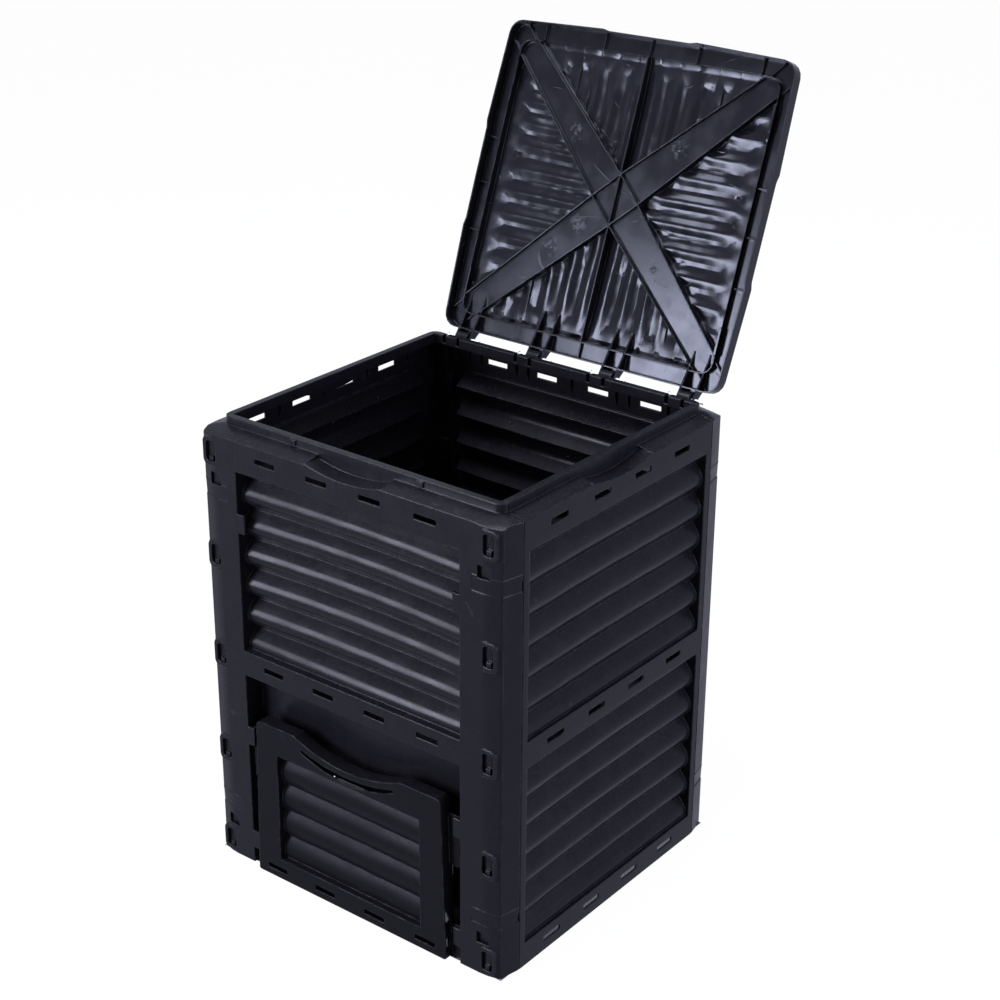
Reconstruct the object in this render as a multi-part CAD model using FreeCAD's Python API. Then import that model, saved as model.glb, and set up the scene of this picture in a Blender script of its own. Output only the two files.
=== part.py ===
"""Compost bin with a hinged lid and a lift-up door at the foot of the front wall.

Four moulded walls stand on the ground as an open-bottomed tub. The front and back
walls wrap round the corners, and the side walls snap into windows in those corners.
The lid turns on four pins over the back wall and is modelled thrown open.
The door slides up behind tabs in a recess of the front wall.

All sizes are in millimetres. The origin is the centre of the footprint, on the ground.
The front faces -Y, +X is to the right and +Z is up.
"""
import FreeCAD
import Part
import math
import os
from FreeCAD import Vector

# Whole bin
WIDTH = 610.0
DEPTH = 576.0
SKIN = 3.0
HALF_W = WIDTH / 2
HALF_D = DEPTH / 2

# Arcs are drawn by chords that stay this near them, so that what repeats stays light
CHORD_SAG = 0.63
DRUM_SIDES = 12

# How far a cutting block runs past what it cuts
PAST = 9.0

# Corner columns: the face bends gently back to a crease and turns there to the side
BEND_X = 278.0
BEND_R = 90.0
CREASE_X = 297.0
CREASE_Y = 281.0
CREASE_R = 4.0
DIP_X = 246.0
DIP_SLOPE_X = -0.12
DIP_SLOPE_Y = 0.38
DIP_FILL_Z = 757.0

# Shoulder and rim round the mouth
SHOULDER_Z = 766.0
LIP_BASE_Z = 773.0
LIP_TOP_Z = 787.0
LIP_HALF_W = 277.0
LIP_HALF_D = 257.0
LIP_WIDTH = 12.0
LIP_SKIN = 2.5
LIP_R = 14.0
LIP_STUD_X = 126.0
LIP_STUD_HALF = 6.0
LIP_STUD_OUT = 3.0

# Seams between the corner walls and the side walls
SEAM_Y = 244.0
SEAM_GAP = 0.8

# Bands and corrugated fields of every wall
BAND_LOW_Z = 42.0
FIELD_LOW_TOP_Z = 358.0
FIELD_UP_Z = 402.0
FIELD_UP_TOP_Z = 716.0
FRONT_FIELD_HALF = 223.0
SIDE_FIELD_HALF = 230.0
FIELD_FRONT = -6.0
FIELD_BACK = 3.2
EDGE_R = 5.0
EDGE_LEAD = 14.0
WALL_WAVES = 6
SIDE_WAVE = {"pitch": 52.2, "first": 7.0, "crest": 5.5, "height": 15.0, "slope": 40.0}
FRONT_WAVE = {"pitch": 52.2, "first": 7.0, "crest": 12.5, "height": 18.5, "slope": 45.0}

# Vent slots, four in a row
SLOT_X = (-159.0, -53.0, 53.0, 159.0)
SLOT_LENGTH = 42.0
SLOT_HEIGHT = 9.0
SLOT_ROWS_Z = (22.0, 381.0, 743.0)

# Hand scoop in the shoulder of every wall but the hinge wall
SCOOP_R = 284.0
SCOOP_FLOOR_Z = 757.0
SCOOP_HALF = 75.0

# Windows, square holes and grooves of the corner columns
WINDOW_X = 275.5
WINDOW_W = 20.0
WINDOW_H = 34.0
WINDOW_R = 5.0
WINDOW_FRAME = 6.5
FRAME_R = 8.0
FRAME_DEPTH = 14.0
WINDOWS_Z = (27.0, 202.0, 380.0, 558.0, 735.5)
SQUARE_X = 266.75
SQUARE_W = 22.5
SQUARE_H = 20.0
SQUARE_Z = (66.5, 691.0)
LEDGES_Z = (91.0, 658.0)
LEDGE_RUN = 26.0
LEDGE_X = 245.0
LEDGE_DEPTH = 0.9
NOTCH_H = 16.0
NOTCH_DEPTH = 1.6

# Tongued flanges of the side walls, behind the corner columns
FLANGE_GAP = 0.4
FLANGE_T = 2.6
FLANGE_INNER_X = 258.0
FLANGE_LAP = 11.0
FLANGE_FOOT_Z = 4.0
FLANGE_HEAD_Z = 755.0
TONGUE_W = 9.0
TONGUE_SINK = 1.5
HOOK_H = 8.0

# Stiffening ribs behind the top band of the back wall and the side walls
RIB_T = 1.8
RIB_TAPER = 22.0
RIB_DEPTH = 8.0
RIB_FOOT_Z = 722.0
END_RIBS_X = (-244.0, -219.0, -194.0, -117.0, -92.0, 0.0, 92.0, 117.0, 194.0, 219.0, 244.0)
SIDE_RIBS_X = (-212.0, -106.0, 0.0, 106.0, 212.0)

# Door recess and access hole in the front wall
RECESS_TOP_Z = 358.0
RECESS_DEPTH = 37.0
ACCESS_HALF = 178.0
ACCESS_Z = (28.0, 210.0)
ACCESS_R = 14.0
TAB_X = (209.0, 227.0)
TAB_H = 33.0
TAB_T = 4.5
TABS_Z = (29.0, 229.0, 610.0)
TAB_HOOK_W = 5.0
TAB_HOOK_H = 9.0
TAB_HOOK_OUT = 1.5

# Door
DOOR_FACE_Y = -298.0
DOOR_FOOT_Z = 1.5
DOOR_TOP_Z = 290.0
DOOR_HALF_TOP = 193.0
DOOR_HALF_FOOT = 202.0
DOOR_DEPTH = 24.0
DOOR_FOOT_R = 3.0
DOOR_TOP_R = 9.0
DOOR_SCOOP_R = 269.0
DOOR_SCOOP_Z = 266.0
DOOR_SLIT_Z = (244.5, 254.5)
DOOR_SLIT_R = (238.0, 300.0)
DOOR_SLIT_HALF = 98.0
DOOR_FIELD_HALF = 150.0
DOOR_FIELD_Z = (40.0, 240.0)
DOOR_WAVES = 4
DOOR_WAVE = {"pitch": 49.0, "first": 15.5, "crest": 9.0, "height": 9.0, "slope": 34.0}
DOOR_SLOT_Z = 18.5
DOOR_RAIL_X = 217.0
DOOR_RAIL_T = 3.0
DOOR_RAIL_Y = -281.2
DOOR_RAILS_Z = ((3.0, 62.0), (170.0, 262.0))
DOOR_RELIEF_Z = (10.0, 90.0)
DOOR_RELIEF_DEPTH = 13.0

# Lid, in its closed place
OPEN_ANGLE = 111.0
HINGE_Y = 281.0
HINGE_Z = 775.0
LID_SKIN = 2.5
LID_MID_Y = -3.0
LID_HALF_W = 281.0
LID_HALF_D = 268.0
LID_BOW = 6.0
LID_GRIP_RECESS = 2.5
LID_GRIP_HALF = 86.0
LID_R = 25.0
LID_EDGE_Z = 774.0
LID_UNDER_Z = 793.0
LID_RIB_T = 2.2
RING_HALF_W = 258.0
RING_HALF_D = 240.5
RING_R = 22.0
RING_FOOT_Z = 783.0
CHANNEL_RIB_Z = 787.6
CROSS_Y = -5.5
CROSS_HALF_X = 46.0
CROSS_HALF_Y = 43.0
CROSS_RIB_Z = 785.0
SIDE_CORNER = RING_HALF_W - CROSS_HALF_X
END_CORNER = (RING_HALF_D - CROSS_HALF_Y) * 1.14
CORNER_RIBS_Y = (213.0, 236.0)
CORNER_RIBS_X = (230.0, 254.0)
CHANNEL_W = 28.0
LID_WAVE = {"pitch": 39.0, "crest": 9.0, "height": 7.5, "slope": 33.0}
LID_FADE = 42.0
CHANNEL_RIBS_X = (-215.0, -92.0, 92.0, 215.0)
CHANNEL_RIBS_Y = (-69.0, 10.0, 93.0)
RING_PAD_LENGTH = 45.0
RING_PAD_Y = 180.0
RING_PAD_T = 3.5

# Hinges
HINGE_X = (-230.0, -75.5, 75.5, 230.0)
PIN_R = 3.0
PIN_REACH = 34.0
PIN_HEAD_R = 4.6
PIN_HEAD_T = 4.0
PIN_PLAY = 0.08
LUG_HALF = 12.0
LUG_R = 11.5
WEB_X = 15.0
WEB_T = 3.0
WEB_TIP_Y = 201.0
WEB_LIP_Z = 776.5
WEB_BOSS_R = 6.0
NOTCH_W = 6.6
STOP_PLAY = 0.4


def box(x0, x1, y0, y1, z0, z1):
    """Upright box between two corners."""
    return Part.makeBox(x1 - x0, y1 - y0, z1 - z0, Vector(x0, y0, z0))


def chord_count(radius, angle):
    """How many chords draw an arc when none may lie further than CHORD_SAG inside it."""
    widest = 2 * math.acos(1 - CHORD_SAG / max(radius, 2 * CHORD_SAG))
    return math.ceil(angle / widest)


def rounded_wire(points, radii):
    """Closed outline at z = 0 through corner points, with each corner rounded by chords."""
    count = len(points)
    corners = [Vector(x, y, 0) for x, y in points]
    stops = []
    for i, corner in enumerate(corners):
        if not radii[i]:
            stops.append(corner)
            continue
        before = (corners[i - 1] - corner).normalize()
        after = (corners[(i + 1) % count] - corner).normalize()
        half = before.getAngle(after) / 2
        reach = radii[i] / math.tan(half)
        middle = corner + (before + after).normalize() * (radii[i] / math.sin(half) - radii[i])
        arc = Part.Arc(corner + before * reach, middle, corner + after * reach).toShape()
        stops += arc.discretize(chord_count(radii[i], math.pi - 2 * half) + 1)
    kept = [stop for i, stop in enumerate(stops) if stop.distanceToPoint(stops[i - 1]) > 1e-3]
    return Part.makePolygon(kept + kept[:1])


def prism(wire, z0, z1):
    """Solid between two heights over a flat outline."""
    face = Part.Face(wire)
    face.translate(Vector(0, 0, z0))
    return face.extrude(Vector(0, 0, z1 - z0))


def rectangle(half_w, half_d, radius, mid_y=0.0):
    """Rounded rectangle about (0, mid_y), at z = 0."""
    points = [(half_w, mid_y - half_d), (half_w, mid_y + half_d),
              (-half_w, mid_y + half_d), (-half_w, mid_y - half_d)]
    return rounded_wire(points, [radius] * 4)


def face_hole(x, z, width, height, radius, y0, y1):
    """Rounded rectangular block seen from the front, between two depths."""
    points = [(-width / 2, -height / 2), (width / 2, -height / 2),
              (width / 2, height / 2), (-width / 2, height / 2)]
    block = prism(rounded_wire(points, [radius] * 4), 0, y1 - y0)
    block.rotate(Vector(0, 0, 0), Vector(1, 0, 0), 90)
    block.translate(Vector(x, y1, z))
    return block


def mirrored_box(side, x0, x1, y0, y1, z0, z1):
    """Box on the right side of the middle, or its mirror image on the left."""
    if side < 0:
        x0, x1 = -x1, -x0
    return box(x0, x1, y0, y1, z0, z1)


def side_plate(points, x0, x1):
    """Plate across X from an outline given as (y, z) points."""
    corners = [Vector(x0, y, z) for y, z in points]
    face = Part.Face(Part.makePolygon(corners + corners[:1]))
    return face.extrude(Vector(x1 - x0, 0, 0))


def many_sided(x, half, y, z, radius):
    """Bar along X, to both sides of a middle, whose flat sides touch a circle."""
    reach = radius / math.cos(math.pi / DRUM_SIDES)
    turns = [2 * math.pi * (i + 0.5) / DRUM_SIDES for i in range(DRUM_SIDES)]
    return side_plate([(y + reach * math.cos(turn), z + reach * math.sin(turn)) for turn in turns],
                      x - half, x + half)


def joined(shapes):
    """One solid from many that overlap."""
    return shapes[0].multiFuse(shapes[1:]).removeSplitter()


def turned(shape, quarter_turns):
    """Copy of a shape turned about the bin's upright axis."""
    copy = shape.copy()
    copy.rotate(Vector(0, 0, 0), Vector(0, 0, 1), 90 * quarter_turns)
    return copy


def moved_in(points, inset):
    """Corner points of a convex outline whose sides all move inwards. It runs anticlockwise."""
    moved = []
    for i, (x, y) in enumerate(points):
        before = Vector(x - points[i - 1][0], y - points[i - 1][1], 0).normalize()
        following = points[(i + 1) % len(points)]
        after = Vector(following[0] - x, following[1] - y, 0).normalize()
        share = inset / (1 + before.dot(after))
        moved.append((x - (before.y + after.y) * share, y + (before.x + after.x) * share))
    return moved


def outline(inset):
    """Plan of the tub with its four bent columns, moved inwards from its outer face."""
    corner = [(BEND_X, HALF_D, BEND_R), (CREASE_X, CREASE_Y, CREASE_R), (HALF_W, SEAM_Y, 0.0)]
    stops = [(x, -y, r) for x, y, r in corner]
    stops += [(x, y, r) for x, y, r in reversed(corner)]
    stops += [(-x, y, r) for x, y, r in corner]
    stops += [(-x, -y, r) for x, y, r in reversed(corner)]
    radii = [max(r - inset, 0.6) if r else 0.0 for _, _, r in stops]
    return rounded_wire(moved_in([(x, y) for x, y, _ in stops], inset), radii)


def lip_outline(inset):
    """Plan of the rim, moved inwards from its outer face."""
    return rectangle(LIP_HALF_W - inset, LIP_HALF_D - inset, max(LIP_R - inset, 3.0))


def raised(wire, z):
    """Copy of an outline at a height."""
    copy = wire.copy()
    copy.translate(Vector(0, 0, z))
    return copy


def tub_block(inset, lip_inset, drop, foot_z):
    """The tub's outer form up to the foot of the rim, or the same form moved inwards and down."""
    low = raised(rectangle(HALF_W - inset, HALF_D - inset, 0.0), SHOULDER_Z - drop)
    high = raised(rectangle(LIP_HALF_W - lip_inset, LIP_HALF_D - lip_inset, 0.0), LIP_BASE_Z - drop)
    shoulder = Part.makeLoft([low, high], True, True)
    shoulder = shoulder.common(prism(outline(inset), SHOULDER_Z - drop - 1, LIP_BASE_Z))
    return prism(outline(inset), foot_z, SHOULDER_Z - drop).fuse(shoulder)


def tub_skin():
    """The walls' common skin: upright faces, sloping shoulder and hollow rim."""
    outer = joined([tub_block(0, 0, 0, 0), prism(lip_outline(0), LIP_BASE_Z - 1, LIP_TOP_Z)])
    inner = joined([tub_block(SKIN, LIP_SKIN, SKIN, -1),
                    prism(lip_outline(LIP_SKIN), LIP_BASE_Z - SKIN - 1, LIP_TOP_Z - LIP_SKIN)])
    flange = prism(lip_outline(LIP_WIDTH - LIP_SKIN), LIP_BASE_Z - SKIN, LIP_TOP_Z - 1)
    mouth = prism(lip_outline(LIP_WIDTH), LIP_BASE_Z - 2 * SKIN, LIP_TOP_Z + 1)
    return outer.cut(inner).fuse(flange).cut(mouth).removeSplitter()


class Trace:
    """Outline seen from the side, drawn by straight stretches and arcs of chords.

    A heading is the angle between the way up and the way it goes, positive when the
    line runs away from the viewer.
    """

    def __init__(self, height, depth, heading):
        self.stops = [(height, depth)]
        self.heading = heading

    def line_to(self, height, depth):
        self.stops.append((height, depth))

    def line(self, length, heading):
        """Sharp turn to a heading and a straight stretch."""
        height, depth = self.stops[-1]
        self.heading = heading
        self.line_to(height + length * math.cos(heading), depth + length * math.sin(heading))

    def arc(self, radius, heading):
        """Smooth turn to a heading. Crests turn away from the viewer and hollows turn back."""
        height, depth = self.stops[-1]
        start = self.heading
        reach = radius if heading > start else -radius
        count = chord_count(radius, abs(heading - start))
        for step in range(1, count + 1):
            angle = start + (heading - start) * step / count
            self.line_to(height + reach * (math.sin(angle) - math.sin(start)),
                         depth - reach * (math.cos(angle) - math.cos(start)))
        self.heading = heading

    def face(self):
        corners = [Vector(0, depth, height) for height, depth in self.stops]
        return Part.Face(Part.makePolygon(corners + corners[:1]))


def wave_sizes(wave):
    """Radius of a wave's round crest and length of each straight flank down to the sharp trough."""
    slope = math.radians(wave["slope"])
    half_pitch = wave["pitch"] / 2
    radius = (half_pitch * math.sin(slope) - wave["height"] * math.cos(slope)) / (1 - math.cos(slope))
    return radius, (half_pitch - radius * math.sin(slope)) / math.cos(slope)


def rise_to_face(run, drop):
    """Heading and straight length of the last rise, from a trough to a wall's face."""
    lead = math.radians(EDGE_LEAD)
    up = run + EDGE_R * math.sin(lead)
    out = drop - EDGE_R * math.cos(lead)
    rise = math.atan2(out, up) + math.asin(EDGE_R / math.hypot(out, up))
    return rise, (up - EDGE_R * math.sin(rise)) / math.cos(rise)


def field_block(half, foot, top, waves, wave, back):
    """Block across a corrugated field, from its waves to in front of the wall's face.

    With a distance back, it is the mass behind the waves, a sheet larger all round.
    """
    slope = math.radians(wave["slope"])
    radius, flank = wave_sizes(wave)
    first = -math.asin(wave["first"] / radius)
    start = wave["crest"] + radius * (1 - math.cos(first)) + back
    trace = Trace(foot, start, first)
    for number in range(waves):
        if number:
            trace.line(flank, -slope)
        trace.arc(radius, slope)
        trace.line(flank, slope)
    rise, length = rise_to_face(top - trace.stops[-1][0], wave["crest"] + wave["height"])
    trace.line(length, -rise)
    trace.arc(EDGE_R, -math.radians(EDGE_LEAD))
    margin = SKIN if back else 0.0
    front = SKIN / 2 if back else FIELD_FRONT
    if back:
        trace.line_to(top + margin, trace.stops[-1][1])
    trace.line_to(top + margin, front)
    trace.line_to(foot - margin, front)
    if back:
        trace.line_to(foot - margin, start)
    face = trace.face()
    face.translate(Vector(-half - margin, 0, 0))
    return face.extrude(Vector(2 * (half + margin), 0, 0))


def field_pair(face_y, half, foot, top, waves, wave):
    """Mass to add behind a wall's face for one field, and the hollow to cut from its front."""
    hollow = field_block(half, foot, top, waves, wave, 0)
    mass = field_block(half, foot, top, waves, wave, FIELD_BACK)
    for solid in (mass, hollow):
        solid.translate(Vector(0, face_y, 0))
    return mass, hollow


def wall_fields(face_y, half, wave, lower_too):
    """Masses and hollows of a wall's corrugated fields."""
    feet = [(FIELD_UP_Z, FIELD_UP_TOP_Z)]
    if lower_too:
        feet.append((BAND_LOW_Z, FIELD_LOW_TOP_Z))
    pairs = [field_pair(face_y, half, foot, top, WALL_WAVES, wave) for foot, top in feet]
    return [mass for mass, _ in pairs], [hollow for _, hollow in pairs]


def slot_row(face_y, z):
    """Four vent slots through a wall's face."""
    return [face_hole(x, z, SLOT_LENGTH, SLOT_HEIGHT, 0.0, face_y - PAST, face_y + 2 * SKIN)
            for x in SLOT_X]


def shoulder_scoop(face_y, lip_y):
    """Mass and hollow of the hand scoop between a wall's face and the rim."""
    drum_z = SCOOP_FLOOR_Z + SCOOP_R
    mass_drum = Part.makeCylinder(SCOOP_R + SKIN, lip_y + LIP_SKIN - face_y - 1,
                                  Vector(0, face_y + 1, drum_z), Vector(0, 1, 0))
    mass = mass_drum.common(box(-SCOOP_HALF - SKIN, SCOOP_HALF + SKIN, face_y, 0,
                                SCOOP_FLOOR_Z - 2 * SKIN, SHOULDER_Z + 2))
    wall = box(-SCOOP_HALF - SKIN, SCOOP_HALF + SKIN, lip_y, lip_y + LIP_SKIN,
               SCOOP_FLOOR_Z - SKIN / 2, LIP_BASE_Z + 2).common(mass_drum)
    drum = Part.makeCylinder(SCOOP_R, lip_y - face_y + PAST, Vector(0, face_y - PAST, drum_z),
                             Vector(0, 1, 0))
    hollow = drum.common(box(-SCOOP_HALF, SCOOP_HALF, face_y - PAST, lip_y,
                             SCOOP_FLOOR_Z - 1, LIP_BASE_Z + PAST))
    return [mass, wall], hollow


def shoulder_under(depth, span):
    """Height of the middle of the shoulder's skin, at a depth behind the wall's face."""
    return SHOULDER_Z - SKIN / 2 + depth * (LIP_BASE_Z - SHOULDER_Z) / span


def top_ribs(face_y, lip_y, places):
    """Upright ribs behind the top band, tapering to nothing at the foot."""
    span = lip_y - face_y
    ribs = []
    for x in places:
        near = face_y + 2
        far = face_y + RIB_DEPTH
        shape = [(near, RIB_FOOT_Z), (far, RIB_FOOT_Z + RIB_TAPER), (far, shoulder_under(RIB_DEPTH, span)),
                 (near, shoulder_under(2, span))]
        ribs.append(side_plate(shape, x - RIB_T / 2, x + RIB_T / 2))
    return ribs


def column_parts():
    """Frames and fill to add to the corner columns, and what is cut from those columns."""
    masses = []
    cuts = []
    inside = prism(outline(SKIN), -1, SHOULDER_Z)
    for side in (-1, 1):
        for z in WINDOWS_Z:
            frame = face_hole(side * WINDOW_X, z, WINDOW_W + 2 * WINDOW_FRAME,
                              WINDOW_H + 2 * WINDOW_FRAME, FRAME_R, -HALF_D, -HALF_D + FRAME_DEPTH)
            masses.append(frame.cut(inside))
            cuts.append(face_hole(side * WINDOW_X, z, WINDOW_W, WINDOW_H, WINDOW_R,
                                  -HALF_D - PAST, -HALF_D + FRAME_DEPTH + 2))
        for z in SQUARE_Z:
            cuts.append(face_hole(side * SQUARE_X, z, SQUARE_W, SQUARE_H, 0.0,
                                  -HALF_D - PAST, -HALF_D + FRAME_DEPTH - 2))
        for z in LEDGES_Z:
            cuts.append(mirrored_box(side, HALF_W - NOTCH_DEPTH - 1, HALF_W + PAST,
                                     -SEAM_Y - NOTCH_DEPTH - SEAM_GAP / 2, -SEAM_Y, z, z + NOTCH_H))
    for z in LEDGES_Z:
        fading = Part.makeLoft([raised(outline(LEDGE_DEPTH), z), raised(outline(0.05), z + LEDGE_RUN)],
                               True, True)
        ring = prism(outline(-2), z, z + LEDGE_RUN).cut(fading)
        for side in (-1, 1):
            cuts.append(ring.common(mirrored_box(side, LEDGE_X, HALF_W + PAST, -HALF_D - PAST, -SEAM_Y,
                                                 z, z + LEDGE_RUN)))
    fill = prism(outline(SKIN / 2), DIP_FILL_Z, SHOULDER_Z)
    for side in (-1, 1):
        masses.append(fill.common(mirrored_box(side, DIP_X - 3, HALF_W, -HALF_D,
                                               -HALF_D + FRAME_DEPTH + 2, DIP_FILL_Z, SHOULDER_Z)))
        cuts.append(shoulder_dip(side))
    return masses, cuts


def shoulder_dip(side):
    """Block above the plane in which the shoulder dips towards the outer edge of a column."""
    corners = []
    for x, y in ((DIP_X - 6, HALF_D + 6), (HALF_W + 6, HALF_D + 6),
                 (HALF_W + 6, LIP_HALF_D + 1), (DIP_X - 6, LIP_HALF_D + 1)):
        z = SHOULDER_Z + DIP_SLOPE_X * (x - DIP_X) + DIP_SLOPE_Y * (HALF_D - y)
        corners.append(Vector(side * x, -y, z))
    return Part.Face(Part.makePolygon(corners + corners[:1])).extrude(Vector(0, 0, 30))


def guide_tabs():
    """Tabs on the column edges: four hold the door, two park it over the upper field."""
    tabs = []
    for z in TABS_Z:
        for side in (-1, 1):
            tabs.append(mirrored_box(side, *TAB_X, -HALF_D, -HALF_D + TAB_T, z, z + TAB_H))
            tabs.append(mirrored_box(side, TAB_X[0], TAB_X[0] + TAB_HOOK_W, -HALF_D + 1,
                                     -HALF_D + TAB_T + TAB_HOOK_OUT, z + TAB_H - TAB_HOOK_H, z + TAB_H))
    return tabs


def door_recess():
    """Box-shaped recess for the door, with the access hole through its floor."""
    half = FRONT_FIELD_HALF
    back = -HALF_D + RECESS_DEPTH
    mass = box(-half - SKIN, half + SKIN, -HALF_D + 1.5, back + SKIN, 0, RECESS_TOP_Z + SKIN)
    hollow = box(-half, half, -HALF_D - PAST, back, -1, RECESS_TOP_Z)
    access = face_hole(0, sum(ACCESS_Z) / 2, 2 * ACCESS_HALF, ACCESS_Z[1] - ACCESS_Z[0], ACCESS_R,
                       back - PAST, back + PAST)
    return mass, [hollow, access]


def corner_wall(skin, is_front):
    """Front or back wall, built as the front one."""
    cut_y = -SEAM_Y - SEAM_GAP / 2
    shell = skin.common(box(-HALF_W - PAST, HALF_W + PAST, -HALF_D - PAST, cut_y, -PAST, LIP_TOP_Z + PAST))
    lip_y = -LIP_HALF_D
    masses, hollows = wall_fields(-HALF_D, FRONT_FIELD_HALF, FRONT_WAVE, not is_front)
    column_masses, cuts = column_parts()
    masses += column_masses
    hollows += cuts
    for z in SLOT_ROWS_Z:
        if not (is_front and z == SLOT_ROWS_Z[0]):
            hollows += slot_row(-HALF_D, z)
    tabs = []
    if is_front:
        scoop_masses, scoop = shoulder_scoop(-HALF_D, lip_y)
        recess_mass, recess_cuts = door_recess()
        masses += scoop_masses + [recess_mass]
        hollows += recess_cuts + [scoop]
        tabs = guide_tabs() + lip_studs()
    else:
        masses += hinge_lugs() + top_ribs(-HALF_D, lip_y, END_RIBS_X)
        hollows += hinge_holes()
    wall = shell.multiFuse(masses).cut(hollows)
    if tabs:
        wall = wall.multiFuse(tabs)
    return wall.removeSplitter()


def lip_studs():
    """Two small square studs on the front of the rim."""
    return [mirrored_box(side, LIP_STUD_X - LIP_STUD_HALF, LIP_STUD_X + LIP_STUD_HALF,
                         -LIP_HALF_D - LIP_STUD_OUT, -LIP_HALF_D + 1,
                         LIP_BASE_Z + 2, LIP_TOP_Z - 3) for side in (-1, 1)]


def hinge_lugs():
    """Knuckles that stand on the shoulder under each pin, as on a front wall."""
    lugs = []
    for x in HINGE_X:
        lugs.append(many_sided(x, LUG_HALF, -HINGE_Y, HINGE_Z, LUG_R))
        foot = [(-HINGE_Y - LUG_R + 0.5, SHOULDER_Z - 2), (-HINGE_Y + LUG_R + 6, SHOULDER_Z + 2),
                (-HINGE_Y + LUG_R - 2, HINGE_Z + 3), (-HINGE_Y - LUG_R + 0.5, HINGE_Z)]
        lugs.append(side_plate(foot, x - LUG_HALF, x + LUG_HALF))
    return lugs


def hinge_holes():
    """Pin holes through the knuckles, and the notches in the rim that the lid's webs pass."""
    cuts = []
    for x in HINGE_X:
        cuts.append(many_sided(x, LUG_HALF + 4, -HINGE_Y, HINGE_Z, PIN_R))
        for side in (-1, 1):
            middle = x + side * WEB_X
            cuts.append(box(middle - NOTCH_W / 2, middle + NOTCH_W / 2, -LIP_HALF_D - 2,
                            -LIP_HALF_D + LIP_WIDTH + 3, LIP_BASE_Z + 0.6, LIP_TOP_Z + 5))
    return cuts


def tongued_flange():
    """Flange of the right wall that goes behind the front corner, with its snap tongues."""
    inner = FLANGE_GAP + SKIN + FLANGE_T
    ring = prism(outline(SKIN + FLANGE_GAP), FLANGE_FOOT_Z, FLANGE_HEAD_Z)
    ring = ring.cut(prism(outline(inner), FLANGE_FOOT_Z - 1, FLANGE_HEAD_Z + 1))
    parts = [ring.common(box(FLANGE_INNER_X, HALF_W, -HALF_D, -SEAM_Y + FLANGE_LAP,
                             FLANGE_FOOT_Z, FLANGE_HEAD_Z))]
    parts.append(box(HALF_W - inner, HALF_W - SKIN / 2, -SEAM_Y + SEAM_GAP, -SEAM_Y + FLANGE_LAP,
                     FLANGE_FOOT_Z, FLANGE_HEAD_Z))
    flange = joined(parts)
    openings = [box(SQUARE_X - SQUARE_W / 2 - 3, SQUARE_X + SQUARE_W / 2 + 3, -HALF_D, -HALF_D + 20,
                    z - SQUARE_H / 2 - 2, z + SQUARE_H / 2 + 2) for z in SQUARE_Z]
    tongues = []
    back_y = -HALF_D + SKIN + FLANGE_GAP + 2
    for z in WINDOWS_Z:
        low = z - WINDOW_H / 2
        high = z + WINDOW_H / 2
        openings.append(box(WINDOW_X - WINDOW_W / 2 - 1, WINDOW_X + WINDOW_W / 2 + 1, -HALF_D,
                            -HALF_D + 20, low - 2, high + 0.5))
        tongues.append(box(WINDOW_X - TONGUE_W / 2, WINDOW_X + TONGUE_W / 2, back_y, back_y + FLANGE_T,
                           low + 1, high + 2))
        tongues.append(box(WINDOW_X - TONGUE_W / 2, WINDOW_X + TONGUE_W / 2, -HALF_D + TONGUE_SINK,
                           back_y + 1, low + 1, low + 1 + HOOK_H))
    return flange.cut(openings).multiFuse(tongues).removeSplitter()


def side_wall(skin):
    """Right wall."""
    half_span = SEAM_Y - SEAM_GAP / 2
    shell = skin.common(box(0, HALF_W + PAST, -half_span, half_span, -PAST, LIP_TOP_Z + PAST))
    masses, hollows = wall_fields(-HALF_W, SIDE_FIELD_HALF, SIDE_WAVE, True)
    scoop_masses, scoop = shoulder_scoop(-HALF_W, -LIP_HALF_W)
    masses += scoop_masses + top_ribs(-HALF_W, -LIP_HALF_W, SIDE_RIBS_X)
    hollows.append(scoop)
    for z in SLOT_ROWS_Z:
        hollows += slot_row(-HALF_W, z)
    masses = [turned(mass, 1) for mass in masses]
    flange = tongued_flange()
    masses += [flange, flange.mirror(Vector(0, 0, 0), Vector(0, 1, 0))]
    hollows = [turned(hollow, 1) for hollow in hollows]
    return shell.multiFuse(masses).cut(hollows).removeSplitter()


def door_outline(inset):
    """Front view of the door: a wider foot and two rounded top corners, as (x, z) points."""
    foot = DOOR_HALF_FOOT - inset
    top = DOOR_HALF_TOP - inset
    points = [(-foot, DOOR_FOOT_Z + inset), (foot, DOOR_FOOT_Z + inset),
              (top, DOOR_TOP_Z - inset), (-top, DOOR_TOP_Z - inset)]
    top_r = max(DOOR_TOP_R - inset, DOOR_FOOT_R)
    wire = rounded_wire(points, [DOOR_FOOT_R, DOOR_FOOT_R, top_r, top_r])
    wire.rotate(Vector(0, 0, 0), Vector(1, 0, 0), 90)
    return wire


def door_block(inset, y0, y1):
    """Solid of the door's outline between two depths."""
    face = Part.Face(door_outline(inset))
    face.translate(Vector(0, y0, 0))
    return face.extrude(Vector(0, y1 - y0, 0))


def drum_across(z_low, radius, y0, y1):
    """Drum along Y whose lowest line is at a height."""
    return Part.makeCylinder(radius, y1 - y0, Vector(0, y0, z_low + radius), Vector(0, 1, 0))


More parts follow.
